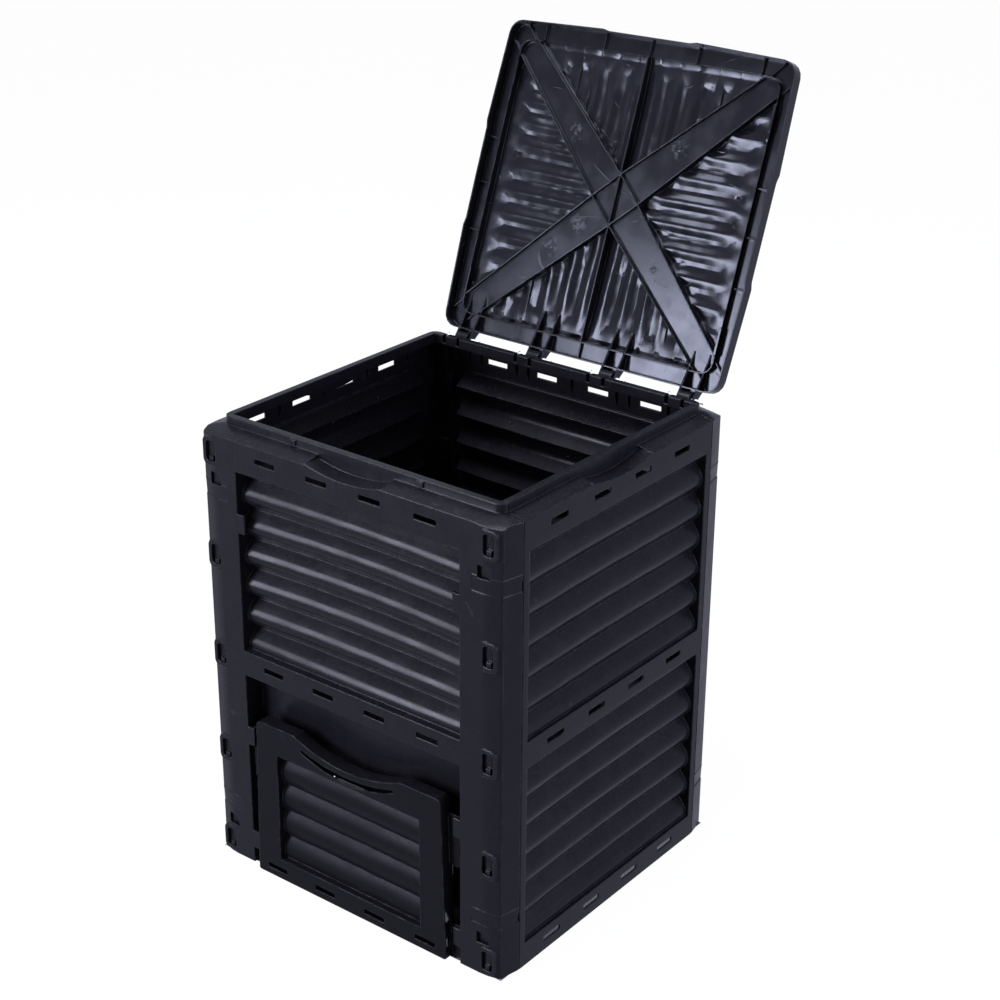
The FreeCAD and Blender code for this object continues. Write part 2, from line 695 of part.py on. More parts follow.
def door():
    """Door panel: dished face, finger slit under a curved grip bar, and hooked side rails."""
    back_y = DOOR_FACE_Y + DOOR_DEPTH
    shell = door_block(0, DOOR_FACE_Y, back_y).cut(door_block(SKIN, DOOR_FACE_Y + SKIN, back_y + 1))
    grip = drum_across(DOOR_SCOOP_Z - SKIN, DOOR_SCOOP_R + SKIN, DOOR_FACE_Y + 1, back_y)
    shell = shell.fuse(grip.common(door_block(1, DOOR_FACE_Y + 1, back_y)))
    mass, hollow = field_pair(DOOR_FACE_Y, DOOR_FIELD_HALF, DOOR_FIELD_Z[0], DOOR_FIELD_Z[1],
                              DOOR_WAVES, DOOR_WAVE)
    slit = drum_across(DOOR_SLIT_Z[0], DOOR_SLIT_R[0], DOOR_FACE_Y - PAST, DOOR_FACE_Y + SKIN + 2)
    slit = slit.cut(drum_across(DOOR_SLIT_Z[1], DOOR_SLIT_R[1], DOOR_FACE_Y - 2 * PAST, DOOR_FACE_Y + PAST))
    slit = slit.common(box(-DOOR_SLIT_HALF, DOOR_SLIT_HALF, DOOR_FACE_Y - PAST, DOOR_FACE_Y + PAST,
                           DOOR_SLIT_Z[0] - 1, DOOR_TOP_Z))
    cuts = [hollow, slit, drum_across(DOOR_SCOOP_Z, DOOR_SCOOP_R, DOOR_FACE_Y - PAST, back_y + PAST)]
    for x in SLOT_X:
        cuts.append(face_hole(x, DOOR_SLOT_Z, SLOT_LENGTH, SLOT_HEIGHT, 0.0, DOOR_FACE_Y - PAST,
                              DOOR_FACE_Y + 2 * SKIN))
    cuts += side_reliefs()
    panel = shell.fuse(mass).cut(cuts)
    return panel.multiFuse(door_rails()).removeSplitter()


def side_reliefs():
    """Crescent cut from each side flange near the door's foot."""
    low, high = DOOR_RELIEF_Z
    half = (high - low) / 2
    radius = (half ** 2 + DOOR_RELIEF_DEPTH ** 2) / (2 * DOOR_RELIEF_DEPTH)
    drum = Part.makeCylinder(radius, 2 * HALF_W, Vector(-HALF_W, DOOR_FACE_Y + SKIN
                             + DOOR_RELIEF_DEPTH - radius, low + half), Vector(1, 0, 0))
    crescents = []
    for side in (-1, 1):
        crescents.append(drum.common(mirrored_box(side, DOOR_HALF_TOP - 1, DOOR_HALF_FOOT + PAST,
                                                  DOOR_FACE_Y + SKIN, DOOR_FACE_Y + DOOR_DEPTH,
                                                  low, high)))
    return crescents


def door_rails():
    """Rails beside the door that run behind the guide tabs."""
    rails = []
    for low, high in DOOR_RAILS_Z:
        for side in (-1, 1):
            rails.append(mirrored_box(side, DOOR_HALF_TOP - SKIN / 2, DOOR_RAIL_X, DOOR_RAIL_Y,
                                      DOOR_RAIL_Y + DOOR_RAIL_T, low, high))
    return rails


def lid_outline(inset):
    """Plan of the lid: bowed sides with a shallow grip recess, and a straight hinge side."""
    w = LID_HALF_W - inset
    d = LID_HALF_D - inset
    g = LID_GRIP_HALF
    bow = LID_BOW
    mid = LID_BOW - LID_GRIP_RECESS
    right = [(w + bow, -g - 6), (w + mid, -g + 6), (w + mid, g - 6), (w + bow, g + 6)]
    points = [(w, -d)] + right + [(w, d), (-w, d)]
    points += [(-x, y) for x, y in reversed(right)]
    points += [(-w, -d), (-g - 6, -d - bow), (-g + 6, -d - mid), (g - 6, -d - mid), (g + 6, -d - bow)]
    points = [(x, y + LID_MID_Y) for x, y in points]
    radii = [0.0] * len(points)
    for i in (0, 5, 6, 11):
        radii[i] = LID_R - inset
    return rounded_wire(points, radii)


def lid_field(tip, ring, corner, inset, offset, foot_z, quarter_turns):
    """One triangular corrugated field, as the block between its outline and its waves.

    The field points at the lid's middle with its tip and lies along the ring rib, where
    the waves, which run from the ring to the tip, die away.
    """
    angle = math.radians(LID_WAVE["slope"])
    radius, flank = wave_sizes(LID_WAVE)
    waves = 2 * math.ceil(corner / LID_WAVE["pitch"])
    trace = Trace(-waves * LID_WAVE["pitch"] / 2, -LID_UNDER_Z - LID_WAVE["crest"] - offset, 0)
    for _ in range(waves):
        trace.arc(radius, angle)
        trace.line(flank, angle)
        trace.line(flank, -angle)
        trace.arc(radius, 0)
    trace.line_to(trace.stops[-1][0], -foot_z)
    trace.line_to(trace.stops[0][0], -foot_z)
    face = trace.face()
    face.rotate(Vector(0, 0, 0), Vector(1, 0, 0), -90)
    face.translate(Vector(tip - 9, 0, 0))
    block = face.extrude(Vector(ring - tip + 14, 0, 0))
    slope = corner / (ring - tip)
    lean = math.sqrt(1 + slope ** 2)
    tip_x = tip + inset * lean / slope
    side_y = corner - inset * lean - inset * slope
    plan = prism(rounded_wire([(tip_x, 0), (ring - inset, -side_y), (ring - inset, side_y)], [0.0] * 3),
                 foot_z, LID_UNDER_Z + 30)
    high = LID_UNDER_Z + LID_WAVE["crest"] + 1 + offset
    low = LID_UNDER_Z + LID_WAVE["crest"] - LID_WAVE["height"] + offset
    fade = Part.makePolygon([Vector(x, 0, z) for x, z in
                             ((tip - 20, foot_z), (tip - 20, high), (ring - LID_FADE, high),
                              (ring + 1, low), (ring + 9, low), (ring + 9, foot_z), (tip - 20, foot_z))])
    wedge = Part.Face(fade).extrude(Vector(0, 2 * corner + 90, 0))
    wedge.translate(Vector(0, -corner - 45, 0))
    return turned(block.common(plan).common(wedge), quarter_turns)


def lid_fields(inset, shift, foot_z):
    """The four triangular fields, in their places."""
    blocks = []
    for quarter_turns in (0, 2):
        blocks.append(lid_field(CROSS_HALF_X, RING_HALF_W, SIDE_CORNER, inset, shift, foot_z,
                                quarter_turns))
    for quarter_turns in (1, 3):
        blocks.append(lid_field(CROSS_HALF_Y, RING_HALF_D, END_CORNER, inset, shift, foot_z,
                                quarter_turns))
    for block in blocks:
        block.translate(Vector(0, CROSS_Y, 0))
    return blocks


def slanted_rib(x0, y0, x1, y1, foot_z):
    """Thin straight rib under the lid between two points of the plan."""
    along = Vector(x1 - x0, y1 - y0, 0)
    length = along.Length
    rib = box(0, length, -LID_RIB_T / 2, LID_RIB_T / 2, foot_z, LID_UNDER_Z + 1)
    rib.rotate(Vector(0, 0, 0), Vector(0, 0, 1), math.degrees(math.atan2(along.y, along.x)))
    rib.translate(Vector(x0, y0, 0))
    return rib


def lid_ribs():
    """Ring rib with its pads, crossed pairs of ribs, middle rib and channel ribs."""
    ring = rectangle(RING_HALF_W, RING_HALF_D, RING_R, LID_MID_Y)
    ring_in = rectangle(RING_HALF_W - LID_RIB_T, RING_HALF_D - LID_RIB_T, RING_R - LID_RIB_T, LID_MID_Y)
    ribs = [prism(ring, RING_FOOT_Z, LID_UNDER_Z + 1).cut(prism(ring_in, RING_FOOT_Z - 1, LID_UNDER_Z + 2))]
    for sx in (-1, 1):
        for sy in (-1, 1):
            ribs.append(slanted_rib(sx * CROSS_HALF_X, CROSS_Y, sx * (RING_HALF_W - 1),
                                    CROSS_Y + sy * (SIDE_CORNER - 1), CROSS_RIB_Z))
            ribs.append(slanted_rib(0, CROSS_Y + sy * CROSS_HALF_Y, sx * END_CORNER,
                                    LID_MID_Y + sy * (RING_HALF_D - 1), CROSS_RIB_Z))
            ribs.append(slanted_rib(sx * CROSS_HALF_X, CROSS_Y, 0, CROSS_Y + sy * CROSS_HALF_Y,
                                    CROSS_RIB_Z))
            ribs.append(slanted_rib(sx * (RING_HALF_W - 3), LID_MID_Y + sy * CORNER_RIBS_Y[0],
                                    sx * (LID_HALF_W - 2), LID_MID_Y + sy * CORNER_RIBS_Y[1],
                                    CHANNEL_RIB_Z))
            ribs.append(slanted_rib(sx * CORNER_RIBS_X[0], LID_MID_Y + sy * (RING_HALF_D - 3),
                                    sx * CORNER_RIBS_X[1], LID_MID_Y + sy * (LID_HALF_D - 2),
                                    CHANNEL_RIB_Z))
            ribs.append(mirrored_box(sx, RING_HALF_W - RING_PAD_T, RING_HALF_W + 1,
                                     sy * RING_PAD_Y - RING_PAD_LENGTH / 2,
                                     sy * RING_PAD_Y + RING_PAD_LENGTH / 2,
                                     RING_FOOT_Z - 2, LID_UNDER_Z + 1))
    half = LID_RIB_T / 2
    near = LID_MID_Y + LID_HALF_D
    far = LID_MID_Y - LID_HALF_D
    ribs.append(box(-half, half, far + CHANNEL_W, near - CHANNEL_W, CROSS_RIB_Z, LID_UNDER_Z + 1))
    for x in CHANNEL_RIBS_X + (0.0,):
        ribs.append(box(x - half, x + half, far - 2, far + CHANNEL_W + 1, CHANNEL_RIB_Z, LID_UNDER_Z + 1))
    ribs.append(box(-half, half, near - CHANNEL_W - 2, near - 1, CHANNEL_RIB_Z, LID_UNDER_Z + 1))
    for y in CHANNEL_RIBS_Y:
        for side in (-1, 1):
            ribs.append(mirrored_box(side, RING_HALF_W - 1, LID_HALF_W + 1, y - half, y + half,
                                     CHANNEL_RIB_Z, LID_UNDER_Z + 1))
    return ribs


def open_to_closed(y, z):
    """Where a point of the side view of the open lid lies when the lid is closed."""
    turn = math.radians(OPEN_ANGLE)
    dy = y - HINGE_Y
    dz = z - HINGE_Z
    return (HINGE_Y + dy * math.cos(turn) - dz * math.sin(turn),
            HINGE_Z + dy * math.sin(turn) + dz * math.cos(turn))


def hinge_webs():
    """Pairs of tapered webs that carry the pin bosses, with the heel that stops the lid."""
    near = LID_MID_Y + LID_HALF_D
    top = LID_UNDER_Z + 1
    arm = [(WEB_TIP_Y, top), (LIP_HALF_D, WEB_LIP_Z), (HINGE_Y - 1.5, HINGE_Z - WEB_BOSS_R + 0.2),
           (HINGE_Y + 3, HINGE_Z + WEB_BOSS_R - 0.9), (near, top)]
    floor_z = SHOULDER_Z + STOP_PLAY
    heel = [open_to_closed(y, z) for y, z in
            ((HINGE_Y + 1, HINGE_Z - 3), (HINGE_Y + 12, HINGE_Z - 1),
             (HINGE_Y + 10, floor_z), (HINGE_Y + 3, floor_z + 1.1))]
    webs = []
    for x in HINGE_X:
        for side in (-1, 1):
            middle = x + side * WEB_X
            webs.append(side_plate(arm, middle - WEB_T / 2, middle + WEB_T / 2))
            webs.append(side_plate(heel, middle - WEB_T / 2, middle + WEB_T / 2))
            webs.append(many_sided(middle, WEB_T / 2, HINGE_Y, HINGE_Z, WEB_BOSS_R))
        webs.append(box(x - WEB_X, x + WEB_X, near - 1, near + 6, LID_UNDER_Z - 3, LID_UNDER_Z - 0.5))
    return webs


def web_strips():
    """Where the webs stand in the field at the hinge side, so that its hollow leaves them."""
    strips = []
    for x in HINGE_X:
        for side in (-1, 1):
            middle = x + side * WEB_X
            strips.append(box(middle - WEB_T / 2, middle + WEB_T / 2, WEB_TIP_Y, HINGE_Y,
                              LID_EDGE_Z, LID_UNDER_Z + 20))
    return strips


def lid():
    """Lid, modelled closed and then thrown open about the hinge line."""
    cap = prism(lid_outline(0), LID_EDGE_Z, LID_UNDER_Z + LID_SKIN)
    cap = cap.cut(prism(lid_outline(LID_SKIN), LID_EDGE_Z - 1, LID_UNDER_Z))
    masses = lid_fields(-LID_SKIN, LID_SKIN, LID_UNDER_Z + 0.5)
    strips = web_strips() + [box(-LID_RIB_T / 2, LID_RIB_T / 2, -HALF_D, HALF_D,
                                 LID_EDGE_Z, LID_UNDER_Z + 20)]
    hollows = [block.cut(strips) for block in lid_fields(LID_RIB_T / 2, 0.0, LID_UNDER_Z - 10)]
    holes = [many_sided(x, PIN_REACH, HINGE_Y, HINGE_Z, PIN_R + PIN_PLAY) for x in HINGE_X]
    shape = cap.multiFuse(masses + lid_ribs() + hinge_webs()).cut(hollows + holes).removeSplitter()
    shape.rotate(Vector(0, HINGE_Y, HINGE_Z), Vector(1, 0, 0), -OPEN_ANGLE)
    return shape


def hinge_pin(x):
    """Plain pin with a flat head at its left end."""
    shank = Part.makeCylinder(PIN_R, 2 * PIN_REACH, Vector(x - PIN_REACH, HINGE_Y, HINGE_Z), Vector(1, 0, 0))
    head = many_sided(x - PIN_REACH - PIN_HEAD_T / 2, PIN_HEAD_T / 2, HINGE_Y, HINGE_Z, PIN_HEAD_R)
    return joined([shank, head])


def save(name, shape):
    """Write one sub-part and print what it measures."""
    solids = shape.Solids
    span = shape.BoundBox
    print(f"{name}: {len(solids)} solid, valid {shape.isValid()}, {shape.Volume / 1000:.0f} cm3,"
          f" x {span.XMin:.1f} to {span.XMax:.1f}, y {span.YMin:.1f} to {span.YMax:.1f},"
          f" z {span.ZMin:.1f} to {span.ZMax:.1f}, faces {len(shape.Faces)}")
    if len(solids) == 1:
        shape = solids[0]
    shape.exportStep(os.path.join("parts", name + ".step"))


def main():
    os.makedirs("parts", exist_ok=True)
    skin = tub_skin()
    right = side_wall(skin)
    save("front_wall", corner_wall(skin, True))
    save("back_wall", turned(corner_wall(skin, False), 2))
    save("right_wall", right)
    save("left_wall", right.mirror(Vector(0, 0, 0), Vector(1, 0, 0)))
    save("door", door())
    save("lid", lid())
    for number, x in enumerate(HINGE_X, start=1):
        save(f"hinge_pin_{number}", hinge_pin(x))


main()
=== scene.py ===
# %% [markdown]
# # Dressing a moulded compost bin
#
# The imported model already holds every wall, rib, slot and hinge of the bin at its real
# size. This script gives those pieces the soft edges, the slight warp and the finish of
# moulded plastic, adds the small marks that moulding leaves behind, and sets the bin in a
# pale studio. All lengths are in metres, the front of the bin faces -Y and the ground is
# z = 0.

# %% Load the frame
import bmesh
import bpy
import math
import numpy as np
from mathutils import Matrix, Vector
from mathutils.bvhtree import BVHTree


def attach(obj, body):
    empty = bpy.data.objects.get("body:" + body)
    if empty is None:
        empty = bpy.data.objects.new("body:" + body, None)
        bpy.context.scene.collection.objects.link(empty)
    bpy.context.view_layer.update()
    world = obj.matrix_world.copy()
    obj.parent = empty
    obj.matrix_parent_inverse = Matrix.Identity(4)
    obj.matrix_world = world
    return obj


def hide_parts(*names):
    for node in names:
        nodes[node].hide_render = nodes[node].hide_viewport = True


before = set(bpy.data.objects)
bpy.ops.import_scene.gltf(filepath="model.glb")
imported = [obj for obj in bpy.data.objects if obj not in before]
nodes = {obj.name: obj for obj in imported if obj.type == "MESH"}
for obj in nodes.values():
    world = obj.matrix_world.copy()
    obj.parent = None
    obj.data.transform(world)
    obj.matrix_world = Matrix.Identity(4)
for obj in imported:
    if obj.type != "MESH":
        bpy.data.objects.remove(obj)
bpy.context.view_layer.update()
scene = bpy.context.scene
print("nodes:", ", ".join(sorted(nodes)))

# %% [markdown]
# ## The camera
#
# The photograph looks down on the front right corner of the bin. Its camera was worked
# out from the bin's straight edges, so it is given as a place and three turns. A camera
# in Blender looks along its own -Z, so the matrix is built from the three directions
# right, up and back.

# %% Camera
CAMERA_PLACE = Vector((1.8532, -2.2830, 1.9382))
CAMERA_YAW = -0.6628
CAMERA_PITCH = -0.4186
CAMERA_ROLL = 0.0066
FOCAL_IN_WIDTHS = 2.01095
SENSOR_MM = 36.0


def camera_axes(yaw, pitch, roll):
    """Right, up and forward directions of a camera."""
    forward = Vector((math.sin(yaw) * math.cos(pitch), math.cos(yaw) * math.cos(pitch),
                      math.sin(pitch)))
    right = Vector((math.cos(yaw), -math.sin(yaw), 0))
    up = right.cross(forward)
    level_right = math.cos(roll) * right + math.sin(roll) * up
    level_up = math.cos(roll) * up - math.sin(roll) * right
    return level_right, level_up, forward


right, up, forward = camera_axes(CAMERA_YAW, CAMERA_PITCH, CAMERA_ROLL)
camera_data = bpy.data.cameras.new("photo_camera")
camera_data.sensor_fit = "HORIZONTAL"
camera_data.sensor_width = SENSOR_MM
camera_data.lens = SENSOR_MM * FOCAL_IN_WIDTHS
camera = bpy.data.objects.new("photo_camera", camera_data)
scene.collection.objects.link(camera)
turn = Matrix((right, up, -forward)).transposed().to_4x4()
camera.matrix_world = Matrix.Translation(CAMERA_PLACE) @ turn
scene.camera = camera
print("camera lens", round(camera_data.lens, 1), "mm")

# %% [markdown]
# ## The studio lamps
#
# Black plastic shows mostly what it mirrors, so the lamps are large soft boxes: a small
# lamp would leave dots of light where the photograph has streaks. The tall box at the
# front left draws the light streaks on the lid's waves and on the crests of the front
# wall, and a weaker and wider one behind it makes the streaks fade instead of stopping
# dead. A bluish box on the right lights the side wall, and one overhead lights the rim
# and the floor.

# %% Lamps
BIN_MIDDLE = (0.0, 0.0, 0.75)
WAVES_MIDDLE = (0.1, 0.1, 0.85)
COOL_WHITE = (0.84, 0.87, 1.0)
BLUISH_WHITE = (0.76, 0.80, 1.0)
TILT = math.radians(14)
LAMPS = {
    "streak_box": {"place": (-1.28, -2.75, 1.25), "width": 1.10, "height": 1.72, "power": 300,
                   "aim": WAVES_MIDDLE, "colour": COOL_WHITE, "roll": TILT},
    "streak_halo": {"place": (-1.15, -2.90, 1.40), "width": 1.40, "height": 2.10, "power": 12,
                    "aim": WAVES_MIDDLE, "colour": COOL_WHITE, "roll": TILT},
    "side_fill": {"place": (3.3, 0.4, 1.3), "width": 2.2, "height": 2.0, "power": 240,
                  "aim": BIN_MIDDLE, "colour": BLUISH_WHITE, "roll": 0.0},
    "top_fill": {"place": (-0.6, -0.4, 3.6), "width": 1.8, "height": 1.8, "power": 260,
                 "aim": BIN_MIDDLE, "colour": COOL_WHITE, "roll": 0.0}}


def soft_box(name, place, width, height, power, aim, colour, roll):
    """Rectangular area lamp that faces a point, turned about its own axis by a roll."""
    lamp = bpy.data.lights.new(name, "AREA")
    lamp.shape = "RECTANGLE"
    lamp.size = width
    lamp.size_y = height
    lamp.energy = power
    lamp.color = colour
    holder = bpy.data.objects.new(name, lamp)
    holder.location = place
    facing = (Vector(aim) - Vector(place)).to_track_quat("-Z", "Y").to_matrix()
    holder.rotation_euler = (facing @ Matrix.Rotation(roll, 3, "Z")).to_euler()
    scene.collection.objects.link(holder)


for name, measures in LAMPS.items():
    soft_box(name, **measures)
print("lamps:", ", ".join(LAMPS))

# %% [markdown]
# ## Helpers for shader trees
#
# Every material below is a tree of shader nodes. A few short functions make a node, feed
# its inputs and hand back its output, so that a line of code reads like a formula.

# %% Shader helpers
MIX_SHARE, MIX_FIRST, MIX_SECOND = 0, 6, 7
MIX_COLOUR = 2


def add(tree, kind, **values):
    """Node of a kind, with its settings or its named sockets filled in."""
    node = tree.nodes.new(kind)
    for name, value in values.items():
        if hasattr(node, name):
            setattr(node, name, value)
        else:
            node.inputs[name.replace("_", " ")].default_value = value
    return node


def feed(tree, socket, value):
    """Link another node's output to a socket, or write a plain number or colour into it."""
    if isinstance(value, bpy.types.NodeSocket):
        tree.links.new(value, socket)
    else:
        socket.default_value = value


def maths(tree, operation, *values, clamp=False):
    """Output of a Math node whose inputs are sockets or plain numbers."""
    node = add(tree, "ShaderNodeMath", operation=operation, use_clamp=clamp)
    for socket, value in zip(node.inputs, values):
        feed(tree, socket, value)
    return node.outputs[0]


def mixed_colour(tree, share, first, second):
    """Colour between two, each a socket or a plain colour, by a share from 0 to 1."""
    node = add(tree, "ShaderNodeMix", data_type="RGBA")
    feed(tree, node.inputs[MIX_SHARE], share)
    feed(tree, node.inputs[MIX_FIRST], first)
    feed(tree, node.inputs[MIX_SECOND], second)
    return node.outputs[MIX_COLOUR]


# %% [markdown]
# ## The world and the floor
#
# The world and the floor look white to the camera and in reflections, while the light
# that they throw on the bin stays modest. A plain white world would wash the black
# plastic grey, so Light Path tells the shader which kind of ray is asking. Under the bin
# the floor drops the white share and is painted a dark grey, a painted shade, because a
# bin's inside is dark and its lowest slots would otherwise glow.

# %% World
STUDIO_GREY = 0.5
CAMERA_WHITE = (1, 1, 1, 1)
MIRROR_WHITE = (0.80, 0.82, 1.0, 1)


def seen_mask(tree):
    """1 for what the camera, a mirror image or clear glass sees, and 0 for light on the bin."""
    path = add(tree, "ShaderNodeLightPath")
    seen = maths(tree, "MAXIMUM", path.outputs["Is Camera Ray"], path.outputs["Is Glossy Ray"])
    return maths(tree, "MAXIMUM", seen, path.outputs["Is Transmission Ray"])


def white_for_camera(tree):
    """Pure white for the camera, and the cooler white of the lamps for mirror images."""
    path = add(tree, "ShaderNodeLightPath")
    return mixed_colour(tree, path.outputs["Is Camera Ray"], MIRROR_WHITE, CAMERA_WHITE)


world = bpy.data.worlds.new("pale_world")
scene.world = world
world.use_nodes = True
sky = world.node_tree
sky.nodes.clear()
dim = add(sky, "ShaderNodeBackground", Color=(STUDIO_GREY, STUDIO_GREY, STUDIO_GREY, 1))
bright = add(sky, "ShaderNodeBackground")
feed(sky, bright.inputs["Color"], white_for_camera(sky))
blend = add(sky, "ShaderNodeMixShader")
for socket, source in zip(blend.inputs, (seen_mask(sky), dim.outputs[0], bright.outputs[0])):
    feed(sky, socket, source)
output = add(sky, "ShaderNodeOutputWorld")
feed(sky, output.inputs["Surface"], blend.outputs[0])
print("world:", len(sky.nodes), "nodes")

# %% Floor
FLOOR_HALF = 12.0
FLOOR_DROP = 0.0005
mesh = bpy.data.meshes.new("floor")
corners = ((-1, -1), (1, -1), (1, 1), (-1, 1))
mesh.from_pydata([(x * FLOOR_HALF, y * FLOOR_HALF, -FLOOR_DROP) for x, y in corners], [], [(0, 1, 2, 3)])
floor = bpy.data.objects.new("floor", mesh)
scene.collection.objects.link(floor)
print("floor:", 2 * FLOOR_HALF, "m wide")

# %% Floor material
WHITE_SHARE = 0.97
SHADE_HALF_W = 0.300
SHADE_HALF_D = 0.283
# Painted shade: the floor's own colour under the bin is a dark grey that stands for the bin's shade.
PAINTED_SHADE_UNDER_BIN = (0.10, 0.10, 0.10, 1)
GREY_OUTSIDE = (0.8, 0.8, 0.8, 1)


def outside_bin(tree):
    """1 on the open floor, and 0 under the bin."""
    where = add(tree, "ShaderNodeSeparateXYZ")
    feed(tree, where.inputs[0], add(tree, "ShaderNodeNewGeometry").outputs["Position"])
    beside = maths(tree, "GREATER_THAN", maths(tree, "ABSOLUTE", where.outputs["X"]), SHADE_HALF_W)
    beyond = maths(tree, "GREATER_THAN", maths(tree, "ABSOLUTE", where.outputs["Y"]), SHADE_HALF_D)
    return maths(tree, "MAXIMUM", beside, beyond)


def pale_floor():
    """Material that the camera sees as white, and the bin's plastic as a matt grey floor, painted dark under
    the bin as painted shade.
    """
    material = bpy.data.materials.new("pale_floor")
    material.use_nodes = True
    tree = material.node_tree
    tree.nodes.clear()
    outside = outside_bin(tree)
    share = maths(tree, "MULTIPLY", maths(tree, "MULTIPLY", seen_mask(tree), outside), WHITE_SHARE)
    matt = add(tree, "ShaderNodeBsdfDiffuse")
    # Under the bin the floor's colour is painted dark, a painted shade.
    feed(tree, matt.inputs["Color"], mixed_colour(tree, outside, PAINTED_SHADE_UNDER_BIN, GREY_OUTSIDE))
    glow = add(tree, "ShaderNodeEmission")
    feed(tree, glow.inputs["Color"], white_for_camera(tree))
    mix = add(tree, "ShaderNodeMixShader")
    for socket, source in zip(mix.inputs, (share, matt.outputs[0], glow.outputs[0])):
        feed(tree, socket, source)
    output = add(tree, "ShaderNodeOutputMaterial")
    feed(tree, output.inputs["Surface"], mix.outputs[0])
    return material


mesh.materials.append(pale_floor())
print("floor material:", mesh.materials[0].name)

# %% [markdown]
# ## The picture's colours
#
# Blender's own default view softens bright tones. The photograph's white background stays
# white only with the plain view, so that one is set.

# %% Picture settings
scene.view_settings.view_transform = "Standard"
print("view:", scene.view_settings.view_transform)

# %% [markdown]
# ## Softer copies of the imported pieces
#
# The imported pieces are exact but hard: each edge is a knife edge, and every wave runs
# dead straight. On a real moulding the edges are rounded, and the thin fields warp and
# sink a little as they cool. Modelling all of that from nothing would only repeat the
# walls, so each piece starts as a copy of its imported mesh. Flat faces are made whole
# again, cuts at an even spacing give the fields enough points to bend, and the points
# then move by a few smooth functions.

# %% Copying and cutting
WELD_GAP = 0.00003
CUT_GAP = 0.000001
FLAT_ANGLE = math.radians(0.5)


def copied(name):
    """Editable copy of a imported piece, with its flat faces whole again."""
    fine = bmesh.new()
    fine.from_mesh(nodes[name].data)
    bmesh.ops.remove_doubles(fine, verts=fine.verts, dist=WELD_GAP)
    bmesh.ops.dissolve_limit(fine, angle_limit=FLAT_ANGLE, verts=fine.verts, edges=fine.edges)
    return fine


def sliced(fine, direction, low, high, step):
    """Cut right through a mesh at an even spacing along one direction."""
    count = round((high - low) / step)
    for number in range(1, count):
        place = Vector(direction) * (low + (high - low) * number / count)
        everything = fine.verts[:] + fine.edges[:] + fine.faces[:]
        bmesh.ops.bisect_plane(fine, geom=everything, dist=CUT_GAP, plane_co=place, plane_no=direction)


def points_of(fine):
    """The mesh's points as rows of an array."""
    return np.array([vertex.co[:] for vertex in fine.verts])


def move_points(fine, places):
    """Put the mesh's points where the rows of an array say."""
    for vertex, place in zip(fine.verts, places):
        vertex.co = place


# %% [markdown]
# ## Smooth, slightly irregular surfaces
#
# A warped moulding has hills of a certain size that never repeat. Random numbers would
# make them rough, so four sine waves of different lengths and directions are added up.
# A seed turns and shifts them, and the same seed always gives the same hills.

# %% Hills and steps
SINE_WAVES = 4
GOLDEN_ANGLE = 2.39996
SHORTEST_WAVE = 0.75
WAVE_LENGTHENING = 0.22
SEED_TURN = 1.7
SEED_SHIFT = 2.3
WAVE_SHIFT = 1.1
RIPPLE_HEIGHT = 2.5


def ripple(along, across, length, seed):
    """Smooth uneven hills between about -1 and 1, whose size is a given length."""
    total = np.zeros_like(along)
    for number in range(SINE_WAVES):
        angle = seed * SEED_TURN + number * GOLDEN_ANGLE
        size = length * (SHORTEST_WAVE + WAVE_LENGTHENING * number)
        shift = seed * SEED_SHIFT + number * WAVE_SHIFT
        distance = along * math.cos(angle) + across * math.sin(angle)
        total += np.sin(distance * math.tau / size + shift)
    return total / RIPPLE_HEIGHT


def ease(share):
    """Smooth step from 0 to 1."""
    share = np.clip(share, 0.0, 1.0)
    return share * share * (3.0 - 2.0 * share)


sample = ripple(np.linspace(0, 1, 500), np.zeros(500), 0.1, 2)
print("ripple runs from", round(sample.min(), 2), "to", round(sample.max(), 2))

# %% [markdown]
# ## Finishing a copy
#
# A finished copy gets two modifiers. Bevel rounds every edge that turns by more than
# EDGE_TURN and leaves the gentle facets of curved stretches alone. Weighted Normal then
# lets the large flat faces keep their own direction, so that only the rounded edges and
# the curved stretches blend, as they do on a moulding. Subdivision would soften the edges
# too, but it would also pull the walls in and round the slots.

# %% Finished pieces
EDGE_RADIUS = 0.0006
EDGE_SEGMENTS = 2
EDGE_TURN = math.radians(38)
FLAT_WEIGHT = 90


def finished(fine, name, body, radius=EDGE_RADIUS):
    """Object from a mesh, with soft edges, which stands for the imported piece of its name."""
    mesh = bpy.data.meshes.new("soft_" + name)
    fine.to_mesh(mesh)
    fine.free()
    mesh.shade_smooth()
    piece = bpy.data.objects.new("soft_" + name, mesh)
    scene.collection.objects.link(piece)
    rounding = piece.modifiers.new("rounded_edges", "BEVEL")
    rounding.width = radius
    rounding.segments = EDGE_SEGMENTS
    rounding.limit_method = "ANGLE"
    rounding.angle_limit = EDGE_TURN
    rounding.use_clamp_overlap = False
    rounding.miter_outer = "MITER_ARC"
    weighting = piece.modifiers.new("flat_faces_first", "WEIGHTED_NORMAL")
    weighting.mode = "FACE_AREA_WITH_ANGLE"
    weighting.weight = FLAT_WEIGHT
    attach(piece, body)
    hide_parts(name)
    print(piece.name, len(mesh.vertices), "points")
    return piece


# %% [markdown]
# ## The walls
#
# Each wall is a stiff frame round thin fields of level waves. All four are handled in the
# front wall's place: a copy is turned about the bin's upright axis, shaped and turned
# back. A field bows inwards by several millimetres in its middle, which bends the rows of
# waves, and small uneven dents, drawn out along the waves, break up the reflections on
# each crest. The dents only go inwards, so no field grows.

# %% Bowed and dented fields
DENT = 0.00035
DENT_OFFSET = 1.5
LONG_DENT, LONG_DENT_SQUASH = 0.11, 3
SHORT_DENT, SHORT_DENT_SQUASH = 0.045, 2
SHORT_DENT_SHARE = 0.5
EDGE_STEEPNESS = 6


